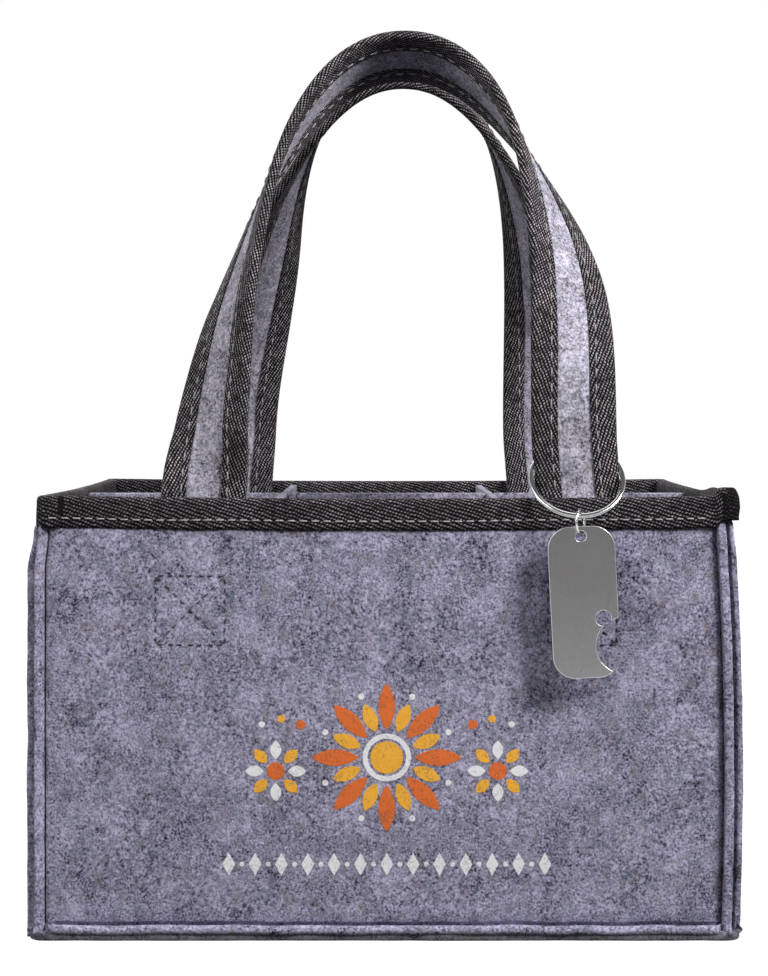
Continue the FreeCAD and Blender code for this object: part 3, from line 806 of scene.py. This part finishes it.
def buildRim():
    inner, drop = rim.halfFelt + rim.room, rim.drop
    outer = inner + rim.tape
    section = [(outer, drop), (outer + rim.bulge, 0.9 * drop), (outer + 0.1 * mm, 0.6 * drop),
               (outer, 0.3 * drop)]
    section += [(outer * a, b * mm) for a, b in rimCrown]
    section += [(-outer, share * drop) for share in (0.3, 0.6, 0.9, 1)]
    under = [(inner, drop), (inner, 0.5 * drop), (inner, 2.2 * mm), (0.5 * inner, 1.1 * mm)]
    section += [(-out, fall) for out, fall in under] + under[::-1]
    rings = []
    for p, way in rimLoop(rim.step):
        wander = uneven(p.x, p.y, 0, rim.wanderSize, rim.wander)
        rings.append([rimPlace(p, way, out, fall + wander * smooth(2 * fall / drop - 1))
                      for out, fall in section])
    tape = loft("rim_tape", rings, finish["rimTape"], closedRun=True)
    # faces at the right front corner and a thin line along the lapped end take the darker copy of the tape,
    # painted shade
    tape.data.materials.append(finish["foldTape"])
    for face in tape.data.polygons:
        x, y, z = face.center
        lapped = abs(x - rim.lapAt) < rim.lapWidth and z > rimTop - rim.stitchDrop
        if y < rim.frontDepth - bag.halfDepth and (x > rim.foldFrom or lapped):
            face.material_index = 1
    dress(tape, "bag", "tape", "rim_binding")
    thread = dashMesh("rim_thread", rimThread(outer), rim.thread, finish["paleThread"])
    dress(thread, "bag", "pale_thread", "rim_stitch")


buildRim()
print("stage: rim")


# handles: a felt strip with both edges wrapped in tape, from inside one wall over the arch and back

strap = sheet(
    dict(halfWidth=15.5, halfFelt=1.3, room=0.06, tape=0.55, cover=9.5, feltIn=0.65, feltUnder=0.8,
         pillow=0.35, halfSpacing=67, rise=181, leanRun=60, sway=5.5, swayRun=90, shift=1.5, fold=18,
         lift=1.2, rootRun=25, rootSway=1.6, swayAt=40, swaySize=24, looseRun=50, frayTwistSize=45, sag=0.5,
         sagSize=38, tailDrop=58, middleY=-76.95, step=2.0, edgeWander=0.5, edgeSize=22, dash=3.5, gap=2.2,
         thread=0.28, threadLift=0.14, threadWander=0.3, threadSize=25, stitchIn=2.3, bendLow=16.5,
         bendHigh=38),
    pillowSteps=12, power=2.15, lean=math.radians(25), archSteps=600, tailSteps=40,
    rootTwist=math.radians(25), twistEase=1.55, lateTwist=1.2, looseTop=0.7, frayTwist=math.radians(2.5),
    tailSplay=math.radians(4.5), rounds=3, share=(0.2, 0.8), seeds={"front": 12.0, "rear": 11.0})


def leaned(run):
    bend = strap.leanRun / strap.lean
    angle = strap.lean * min(run / strap.leanRun, 1.0)
    past = max(run - strap.leanRun, 0.0)
    inward = bend * (1 - math.cos(angle)) + past * math.sin(angle)
    return inward, bend * math.sin(angle) + past * math.cos(angle), angle


def archLine():
    # centre points, face normals and share of the rise, from the left fold to the right one
    power, fold = 2 / strap.power, strap.fold
    start = math.asin((fold / strap.rise) ** (1 / power))
    spots = []
    for i in range(strap.archSteps + 1):
        turn = start + (math.pi - 2 * start) * i / strap.archSteps
        run = math.cos(turn)
        u = -math.copysign(abs(run) ** power, run) * strap.halfSpacing
        v = strap.rise * math.sin(turn) ** power
        inward, height, angle = leaned(max(v - fold, 0.0))
        share = min(max((v - fold) / (strap.rise - fold), 0.0), 1.0)
        x = u + strap.sway * smooth((v - fold) / strap.swayRun) + strap.shift
        place = Vector((x, strap.middleY + inward, rimTop + fold + height + strap.lift * share ** 2))
        spots.append((place, Vector((0, -math.cos(angle), math.sin(angle))), share))
    return spots


def wholeLine():
    arch = archLine()
    left, right = [], []
    for k in range(strap.tailSteps, 0, -1):
        down = (strap.fold + strap.tailDrop) * k / strap.tailSteps
        out = math.tan(strap.tailSplay) * down
        for tail, foldSpot, side in ((left, arch[0], -1), (right, arch[-1], 1)):
            tail.append((foldSpot[0] + Vector((side * out, 0, -down)), Vector((0, -1, 0)), 0.0))
    return left + arch + right[::-1]


def evenStations(line, step):
    run = lengthsAlong([p for p, _, _ in line])
    count = round(run[-1] / step)
    spots = []
    for at in np.interp(np.linspace(0, run[-1], count + 1), run, np.arange(len(run))):
        i = min(int(at), len(line) - 2)
        share = at - i
        (p, n, r), (q, m, t) = line[i], line[i + 1]
        spots.append([p.lerp(q, share), n.lerp(m, share).normalized(), between(r, t, share)])
    for _ in range(strap.rounds):  # takes the corner out where tail and arch meet
        middle = [(a[0] + b[0] * 2 + c[0]) / 4 for a, b, c in zip(spots, spots[1:], spots[2:])]
        for spot, place in zip(spots[1:-1], middle):
            spot[0] = place
    return spots


def strapStations(earlyLeft, mirrored, seed):
    spots = evenStations(wholeLine(), strap.step)
    stations = []
    for i, (place, normal, share) in enumerate(spots):
        tangent = (spots[min(i + 1, len(spots) - 1)][0] - spots[max(i - 1, 0)][0]).normalized()
        inward = tangent.cross(normal).normalized()
        high = place.z - rimTop
        if earlyLeft and i < len(spots) / 2:
            # this leg turns at its root already
            root = strap.rootTwist * smooth(high / strap.rootRun)
            twist = root + (math.pi / 2 - strap.rootTwist) * (1 - (1 - share) ** strap.twistEase)
            aside = strap.rootSway * bell((high - strap.swayAt) / strap.swaySize)
            place = place + Vector((aside, 0, 0))
        else:
            twist = math.pi / 2 * smooth(share) ** strap.lateTwist
        loose = smooth((high - strap.fold) / strap.looseRun) * (1 - strap.looseTop * share)
        twist += uneven(place.x, seed, place.z, strap.frayTwistSize, strap.frayTwist) * loose
        across = inward * math.cos(twist) + normal * math.sin(twist)
        through = normal * math.cos(twist) - inward * math.sin(twist)
        place = place + through * uneven(place.x, seed + 5, place.z, strap.sagSize, strap.sag) * loose
        flip = Vector((1, -1 if mirrored else 1, 1))
        stations.append((place * flip, across * flip, through * flip))
    return stations


ringFrame = sheet(
    dict(inner=15.8, thick=1.9, room=0.3, reach=4, nearZ=12, nearX=40),
    tilt=math.radians(41), ease=2.2, swings=(0, -14, -28, -42, -55))
ringCentre = sum(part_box("key_ring"), Vector()) / 2
ringPivot = jointPlace("key_ring_swing")


def ringAxes(swing=0.0):
    turn = Matrix.Rotation(math.radians(swing), 3, "X")
    down = turn @ Vector((0, -math.sin(ringFrame.tilt), -math.cos(ringFrame.tilt)))
    axis = turn @ Vector((0, math.cos(ringFrame.tilt), -math.sin(ringFrame.tilt)))
    return ringPivot + turn @ (ringCentre - ringPivot), down, axis


def clearOfRing(p):
    # the ring's wire presses the strap's edges in wherever the ring can swing
    for swing in ringFrame.swings:
        centre, down, axis = ringAxes(swing)
        off = p - centre
        side, deep, level = off.x, off.dot(down), off.dot(axis)
        slope = max(abs(level) - ringFrame.thick / 2 - ringFrame.room, 0.0)
        limit = ringFrame.inner - ringFrame.room + ringFrame.ease * slope
        if math.hypot(side, deep) > limit and abs(level) < ringFrame.reach and abs(deep) < limit:
            p = p.copy()
            p.x = centre.x + math.copysign(math.sqrt(limit ** 2 - deep ** 2), side)
    return p


def strapPoint(station, u, w, atRing):
    place, across, through = station
    p = place + across * u + through * w
    if atRing and p.x > ringFrame.nearX and abs(p.z - ringPivot.z) < ringFrame.nearZ:
        p = clearOfRing(p)
    return p


def feltSection():
    half, felt = strap.halfWidth - strap.feltIn, strap.halfFelt
    bare = strap.halfWidth - strap.cover + strap.feltUnder
    upper = [(-half, 0.6 * felt), (-half + 0.5 * mm, felt)]
    for k in range(strap.pillowSteps + 1):
        u = between(-bare, bare, k / strap.pillowSteps)
        upper.append((u, felt + strap.pillow * (1 - min(abs(u) / bare, 1) ** 2.5)))
    upper += [(half - 0.5 * mm, felt), (half, 0.6 * felt)]
    return upper + [(u, -w) for u, w in reversed(upper)]


def tapeSection(edge, wander):
    felt, back, tape = strap.halfFelt + strap.room, strap.halfWidth, strap.tape
    face = felt + tape
    end = back - strap.cover + wander
    skin = [(end, face - 0.05 * mm), (end + 0.5 * mm, face + 0.06 * mm),
            (between(end, back, 0.4), face + 0.1 * mm), (between(end, back, 0.75), face + 0.06 * mm),
            (back - 1.0 * mm, 0.93 * face), (back - 0.3 * mm, 0.68 * face), (back, 0.3 * face)]
    skin += [(u, -w) for u, w in reversed(skin)]
    under = [(end, felt), (back - 1.5 * mm, felt), (back - tape, 0.5 * felt)]
    lining = [(u, -w) for u, w in under] + under[::-1]
    return [(edge * u, w) for u, w in skin + lining]


def strapDashes(stations, u, face, seed, atRing):
    run = lengthsAlong([s[0] for s in stations])
    pitch = strap.dash + strap.gap

    def spot(at):
        exact = float(np.interp(at, run, np.arange(len(run))))
        i = min(int(exact), len(stations) - 2)
        mixed = [p.lerp(q, exact - i) for p, q in zip(stations[i], stations[i + 1])]
        off = u + uneven(at, seed, u, strap.threadSize, strap.threadWander)
        return strapPoint(mixed, off, face, atRing), mixed[2] * math.copysign(1, face)

    dashes = []
    for k in range(int(run[-1] / pitch)):
        (first, normal), (last, _) = [spot((k + share) * pitch) for share in strap.share]
        dashes.append((first, last, normal))
    return dashes


def strapNodes(end, layer):
    return [f"{end}_{part}_{layer}" for part in ("loop", "left_tail", "right_tail")]


def buildHandle(end):
    front = end == "front"
    seed = strap.seeds[end]
    stations = strapStations(front, not front, seed)

    def sweep(name, sections, material):
        rings = [[strapPoint(s, u, w, front) for u, w in section] for s, section in zip(stations, sections)]
        return loft(f"{end}_strap_{name}", rings, finish[material])

    felt = sweep("felt", [feltSection()] * len(stations), "strapFelt")
    pieces = [(felt, "felt", strapNodes(end, "felt"))]
    for edge, layer in ((1, "inner_tape"), (-1, "outer_tape")):
        wanders = [uneven(i * strap.step, seed, edge, strap.edgeSize, strap.edgeWander)
                   for i in range(len(stations))]
        tape = sweep(layer, [tapeSection(edge, wander) for wander in wanders], "strapTape")
        pieces.append((tape, "tape", strapNodes(end, layer)))
    line = strap.halfWidth - strap.cover + strap.stitchIn
    face = strap.halfFelt + strap.tape + strap.threadLift
    dashes = []
    for edge in (1, -1):
        for w in (face, -face):
            dashes += strapDashes(stations, edge * line, w, seed + edge, front)
    thread = dashMesh(f"{end}_strap_thread", dashes, strap.thread, finish["paleThread"])
    pieces.append((thread, "pale_thread", []))
    for piece, slotName, nodes in pieces:
        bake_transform(piece)
        if nodes:
            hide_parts(*nodes)


for handleEnd in ("front", "rear"):
    buildHandle(handleEnd)
print("stage: handles")


# loose insert of three lapped felt boards

insert = sheet(
    dict(step=4.0, bow=0.7, bowSize=60, bowFrom=12, edge=0.5, slotRoom=0.15),
    edgeSteps=2)


def evenMarks(marks):
    # the marks with even steps between them
    places = []
    for a, b in zip(marks, marks[1:]):
        count = max(1, round((b - a) / insert.step))
        places += [between(a, b, k / count) for k in range(count)]
    return places + [marks[-1]]


def buildDivider(node, axis, slots, slotFromTop):
    low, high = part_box(node)
    middle = (low + high) / 2
    thick = (high - low)[1 - axis]
    halfSlot = thick / 2 + insert.slotRoom
    edges = {low[axis], high[axis]} | {slotAt + side * halfSlot for slotAt in slots for side in (-1, 1)}
    runs = evenMarks(sorted(edges))
    heights = evenMarks([low.z, middle.z, high.z])
    work = bmesh.new()
    grid = []
    for z in heights:
        row = []
        for r in runs:
            near = min(abs(r - slotAt) for slotAt in slots)
            place = middle.copy()
            bow = uneven(r, middle.y + middle.x, z, insert.bowSize, insert.bow)
            place[1 - axis] += bow * smooth(near / insert.bowFrom)
            place[axis] = r
            place.z = z
            row.append(work.verts.new(place))
        grid.append(row)
    for i in range(len(heights) - 1):
        upper = (heights[i] + heights[i + 1]) / 2 > middle.z
        for j in range(len(runs) - 1):
            centre = (runs[j] + runs[j + 1]) / 2
            if upper == slotFromTop and any(abs(centre - slotAt) < halfSlot for slotAt in slots):
                continue
            work.faces.new((grid[i][j], grid[i][j + 1], grid[i + 1][j + 1], grid[i + 1][j]))
    bmesh.ops.delete(work, geom=[v for v in work.verts if not v.link_faces], context="VERTS")
    name = node + "_board"
    board = closeMesh(work, bpy.data.meshes.new(name), name, finish["insertFelt"])
    addModifier(board, "SOLIDIFY", thickness=thick, offset=0)
    addModifier(board, "BEVEL", width=insert.edge, segments=insert.edgeSteps, limit_method="ANGLE")
    applyModifiers(board).shade_smooth()
    dress(board, "divider_insert", "divider_felt", node)


crossNames = ("left_cross_divider", "right_cross_divider")
buildDivider("long_divider", 0, [sum(c.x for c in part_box(name)) / 2 for name in crossNames], True)
for dividerName in crossNames:
    buildDivider(dividerName, 1, [0.0], False)
print("stage: insert")


# split ring: one flat wire wound twice, with a short step between the coils

coil = sheet(
    dict(outer=17.4, thick=1.6, lift=0.02),
    jog=math.radians(36), gap=math.radians(9), startAt=math.radians(205), steps=260)


def buildKeyRing():
    centre, down, axis = ringAxes()
    side = axis.cross(down).normalized()
    wire = (coil.outer - ringFrame.inner) / 2
    middle = (coil.outer + ringFrame.inner) / 2
    layer = coil.thick / 4
    thin = layer - coil.lift
    lower = [(-wire, -0.55 * thin), (-0.8 * wire, -thin), (0.8 * wire, -thin), (wire, -0.55 * thin)]
    section = lower + [(a, -b) for a, b in reversed(lower)]
    rings = []
    for i in range(coil.steps + 1):
        turn = (4 * math.pi - coil.gap) * i / coil.steps
        level = between(-layer, layer, smooth((turn - 2 * math.pi + coil.jog) / coil.jog))
        angle = turn + coil.startAt
        way = down * math.cos(angle) + side * math.sin(angle)
        rings.append([centre + way * (middle + a) + axis * (level + b) for a, b in section])
    dress(loft("split_ring", rings, finish["platedWire"]), "key_ring", "plated_wire", "key_ring")


buildKeyRing()


# the opener hangs a little askew and has its edges broken; the jump ring only gets its finish

openerTag = sheet(
    dict(edge=0.65, weld=0.005),
    lean=math.radians(2.8), edgeSteps=3, edgeAngle=math.radians(50), flat=0.99, upright=0.05, highlightMaxX=0.3)


def buildOpener():
    mesh = frame["nodes"]["opener"].data.copy()
    pin = jointPlace("opener_swing")
    lean = Matrix.Rotation(-openerTag.lean, 4, "Y")
    mesh.transform(Matrix.Translation(pin) @ lean @ Matrix.Translation(-pin))
    mesh.materials.clear()
    mesh.materials.append(finish["satinSteel"])
    tag = newObject("opener_tag", mesh)
    addModifier(tag, "WELD", merge_threshold=openerTag.weld)
    addModifier(tag, "BEVEL", width=openerTag.edge, segments=openerTag.edgeSteps, limit_method="ANGLE",
                angle_limit=openerTag.edgeAngle)
    applied = applyModifiers(tag)
    applied.materials.append(finish["rubbedSteel"])
    for face in applied.polygons:
        turned = abs(face.normal.y)
        face.use_smooth = turned < openerTag.flat
        # the broken edge along the left and the bottom takes a brighter copy of the steel, a painted
        # highlight
        if openerTag.upright < turned < openerTag.flat and face.normal.x < openerTag.highlightMaxX:
            face.material_index = 1
    dress(tag, "opener", "steel", "opener")


buildOpener()
jumpRing = frame["nodes"]["jump_ring"].data
jumpRing.materials.clear()
jumpRing.materials.append(finish["platedWire"])
print("stage: metal")


# printed ornament on the front: a sun flower between two small ones over a band of lozenges

ornament = sheet(
    dict(lift=0.11, sink=0.35, weld=0.002, long=27, longHalf=3.0, short=21, shortHalf=2.5, heart=7.5,
         heartIn=1.6, petalGap=2.6, tipGap=3, dot=1.1, sideAt=40, sideUp=61, sideLong=11, sideHalf=2.0,
         sideHeart=3.2, sideGap=1.2, bandUp=27, bandHalf=57),
    rows=14, columns=4, roundness=0.8, middle=(0.0, 66 * mm), petals=16, hoop=(-0.6 * mm, 1.2 * mm),
    sidePetals=8, spots={"inkOrange": (-9, 17, 1.7), "inkYellow": (-2, 19, 1.4), "inkWhite": (5, 17, 1.1)},
    bandCount=13, bandDot=0.8, lozenge=(2.3 * mm, 4.2 * mm))
inkShapes = {ink: [] for ink in inkTones}


def polar(centre, angle, reach):
    return centre[0] + reach * math.sin(angle), centre[1] + reach * math.cos(angle)


def lens(centre, angle, start, stop, halfWidth):
    left, right = [], []
    for k in range(ornament.rows + 1):
        share = k / ornament.rows
        spot = polar(centre, angle, between(start, stop, share))
        half = halfWidth * max(math.sin(math.pi * share), 0.0) ** ornament.roundness
        left.append(polar(spot, angle - math.pi / 2, half))
        right.append(polar(spot, angle + math.pi / 2, half))
    return left, right, False


def disc(centre, radius):
    turns = [math.pi * k / ornament.rows for k in range(ornament.rows + 1)]
    left, right = [[polar(centre, side * turn, radius) for turn in turns] for side in (-1, 1)]
    return left, right, False


def hoop(centre, inner, outer):
    count = 3 * ornament.rows
    turns = [2 * math.pi * k / count for k in range(count)]
    left, right = [[polar(centre, turn, reach) for turn in turns] for reach in (inner, outer)]
    return left, right, True


def lozenge(centre, halfX, halfZ):
    x, z = centre
    left, right = [[(x, z + halfZ), (x + side * halfX, z), (x, z - halfZ)] for side in (-1, 1)]
    return left, right, False


def drawFlower(centre, count, start, petals):
    # two kinds of petal take turns
    for k in range(count):
        ink, reach, half = petals[k % 2]
        inkShapes[ink].append(lens(centre, 2 * math.pi * k / count, start, reach, half))


def drawOrnament():
    middle, heart = ornament.middle, ornament.heart
    petals = (("inkOrange", ornament.long, ornament.longHalf),
              ("inkYellow", ornament.short, ornament.shortHalf))
    drawFlower(middle, ornament.petals, heart + ornament.petalGap, petals)
    for k in range(1, ornament.petals, 2):
        tip = polar(middle, 2 * math.pi * k / ornament.petals, ornament.short + ornament.tipGap)
        inkShapes["inkWhite"].append(disc(tip, ornament.dot))
    inkShapes["inkYellow"].append(disc(middle, heart - ornament.heartIn))
    inkShapes["inkWhite"].append(hoop(middle, *[heart + more for more in ornament.hoop]))
    petals = [(ink, ornament.sideLong, ornament.sideHalf) for ink in ("inkWhite", "inkYellow")]
    for side in (-1, 1):
        centre = (side * ornament.sideAt, ornament.sideUp)
        drawFlower(centre, ornament.sidePetals, ornament.sideHeart + ornament.sideGap, petals)
        inkShapes["inkOrange"].append(disc(centre, ornament.sideHeart))
        for ink, (aside, higher, radius) in ornament.spots.items():
            spot = (side * (ornament.sideAt + aside * mm), ornament.sideUp + higher * mm)
            inkShapes[ink].append(disc(spot, radius * mm))
    last = ornament.bandCount - 1
    for k in range(last + 1):
        x = between(-ornament.bandHalf, ornament.bandHalf, k / last)
        inkShapes["inkWhite"].append(lozenge((x, ornament.bandUp), *ornament.lozenge))
        if k < last:
            spot = (x + ornament.bandHalf / last, ornament.bandUp)
            inkShapes["inkWhite"].append(disc(spot, ornament.dot * ornament.bandDot))


def inkGrid(work, left, right, depth):
    wall = walls["front_panel"]
    grid = []
    for a, b in zip(left, right):
        row = []
        for c in range(ornament.columns + 1):
            s, z = [between(*ends, c / ornament.columns) for ends in zip(a, b)]
            lie = wallRipple(wall, s, z) + wallNap(wall, s, z) + depth
            row.append(work.verts.new(wallPlace(wall, s, z, lie)))
        grid.append(row)
    return grid


def inkShape(work, left, right, closed):
    # a thin closed patch that lies on the felt's ripple and nap
    count, columns = len(left), ornament.columns
    upper, lower = [inkGrid(work, left, right, depth) for depth in (ornament.lift, -ornament.sink)]
    for i in range(count if closed else count - 1):
        n = (i + 1) % count
        for grid in (upper, lower):
            for c in range(columns):
                work.faces.new((grid[i][c], grid[i][c + 1], grid[n][c + 1], grid[n][c]))
        for c in (0, columns):
            work.faces.new((upper[i][c], upper[n][c], lower[n][c], lower[i][c]))
    for i in () if closed else (0, count - 1):
        for c in range(columns):
            work.faces.new((upper[i][c], upper[i][c + 1], lower[i][c + 1], lower[i][c]))


drawOrnament()
for inkName, shapes in inkShapes.items():
    inkWork = bmesh.new()
    for shape in shapes:
        inkShape(inkWork, *shape)
    bmesh.ops.remove_doubles(inkWork, verts=inkWork.verts, dist=ornament.weld)
    bmesh.ops.dissolve_degenerate(inkWork, edges=inkWork.edges, dist=ornament.weld)
    inkLayer = closeMesh(inkWork, bpy.data.meshes.new(inkName), "front_" + inkName, finish[inkName])
    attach(inkLayer, "bag")
print("stage: ornament")


# floor, light and camera; a lamp is place, size and power

studio = sheet(
    {}, floorHalf=3.0, floorBounce=0.04, floorShade=0.22, floorGlow=0.88, glowRun=(0.3, 0.9),
    floorMirrored=0.22, mirrorRun=(0.35, 0.8), ambient=0.15, zenith=0.12, zenithRun=(0.45, 0.85),
    facing=0.34, facingRun=(-0.95, -0.45), aim=Vector((0.0, -0.05, 0.13)))
lamps = {
    "key": ((0.98, -0.71, 1.05), 0.42, 27.0), "fill": ((-0.91, -0.87, 1.16), 1.0, 11.0),
    "top": ((0.1, 0.45, 1.35), 0.9, 6.0), "side": ((-1.25, -0.30, 0.35), 0.6, 3.0),
    "back": ((-0.45, 1.25, 0.80), 0.9, 10.0),
}


def emptyTree(owner):
    owner.use_nodes = True
    owner.node_tree.nodes.clear()
    return owner.node_tree


def seenRays(tree):
    # rays from the camera, and rays that metal sends on
    rays = addNode(tree, "LightPath").outputs
    return calc("MAXIMUM", rays["Is Camera Ray"], rays["Is Transmission Ray"]), rays["Is Glossy Ray"]


def buildFloor():
    half = studio.floorHalf
    mesh = bpy.data.meshes.new("floor")
    corners = [(-half, -half, 0), (half, -half, 0), (half, half, 0), (-half, half, 0)]
    mesh.from_pydata(corners, [], [(0, 1, 2, 3)])
    material = bpy.data.materials.new("paleFloor")
    mesh.materials.append(material)
    tree = emptyTree(material)
    seen, glossy = seenRays(tree)
    away = addNode(tree, "VectorMath", operation="LENGTH")
    feed(away, {0: addNode(tree, "NewGeometry").outputs["Position"]})
    # metal mirrors a bright floor below and a dimmer one further off
    mirrored = spread(away.outputs["Value"], *studio.mirrorRun, 1.0, studio.floorMirrored)
    seen = calc("MAXIMUM", seen, times(glossy, mirrored))
    bounce, shade = addNode(tree, "BsdfDiffuse"), addNode(tree, "BsdfDiffuse")
    feed(bounce, {"Color": (studio.floorBounce,) * 3 + (1,)})
    feed(shade, {"Color": (studio.floorShade,) * 3 + (1,)})
    # full white away from the carrier, a little under it close by so that its shadow shows
    glow = addNode(tree, "Emission")
    level = spread(away.outputs["Value"], *studio.glowRun, studio.floorGlow, 1.0)
    feed(glow, {"Strength": level})
    both, pick = addNode(tree, "AddShader"), addNode(tree, "MixShader")
    feed(both, {0: shade.outputs[0], 1: glow.outputs[0]})
    feed(pick, {0: seen, 1: bounce.outputs[0], 2: both.outputs[0]})
    feed(addNode(tree, "OutputMaterial"), {"Surface": pick.outputs[0]})
    newObject("floor", mesh)


def buildWorld():
    world = bpy.data.worlds.new("studio")
    bpy.context.scene.world = world
    tree = emptyTree(world)
    seen, glossy = seenRays(tree)
    # metal mirrors a room that is white round the sides, dim overhead and dimmer where the camera stands
    split = addNode(tree, "SeparateXYZ")
    feed(split, {0: addNode(tree, "TexCoord").outputs["Generated"]})
    above = spread(split.outputs["Z"], *studio.zenithRun, 1.0, studio.zenith)
    facing = spread(split.outputs["Y"], *studio.facingRun, studio.facing, 1.0)
    mirrored = times(times(above, facing), glossy)
    level = calc("MAXIMUM", calc("MAXIMUM", seen, mirrored), studio.ambient)
    background = addNode(tree, "Background")
    feed(background, {"Color": (1, 1, 1, 1), "Strength": level})
    feed(addNode(tree, "OutputWorld"), {"Surface": background.outputs[0]})


def addLamp(name, place, size, power):
    data = bpy.data.lights.new(name, "AREA")
    data.shape = "SQUARE"
    data.size = size
    data.energy = power
    lamp = newObject(name, data)
    lamp.location = place
    lamp.rotation_euler = (studio.aim - Vector(place)).to_track_quat("-Z", "Y").to_euler()


buildFloor()
buildWorld()
for lampName, lamp in lamps.items():
    addLamp(lampName, *lamp)

# the photograph's frame is 768 by 976; its horizon lies above the middle, which the shift gives
view = sheet({}, place=(-0.001, -0.7225, 0.190), sensor=36.0, lens=65.4, shiftY=-0.078, clip=0.01)
cameraData = bpy.data.cameras.new("camera")
cameraData.sensor_width = view.sensor
cameraData.lens = view.lens
cameraData.shift_y = view.shiftY
cameraData.clip_start = view.clip
camera = newObject("camera", cameraData)
camera.location = view.place
camera.rotation_euler = (math.radians(90), 0, 0)
bpy.context.scene.camera = camera
bpy.context.scene.view_settings.view_transform = "Standard"
print("stage: studio")
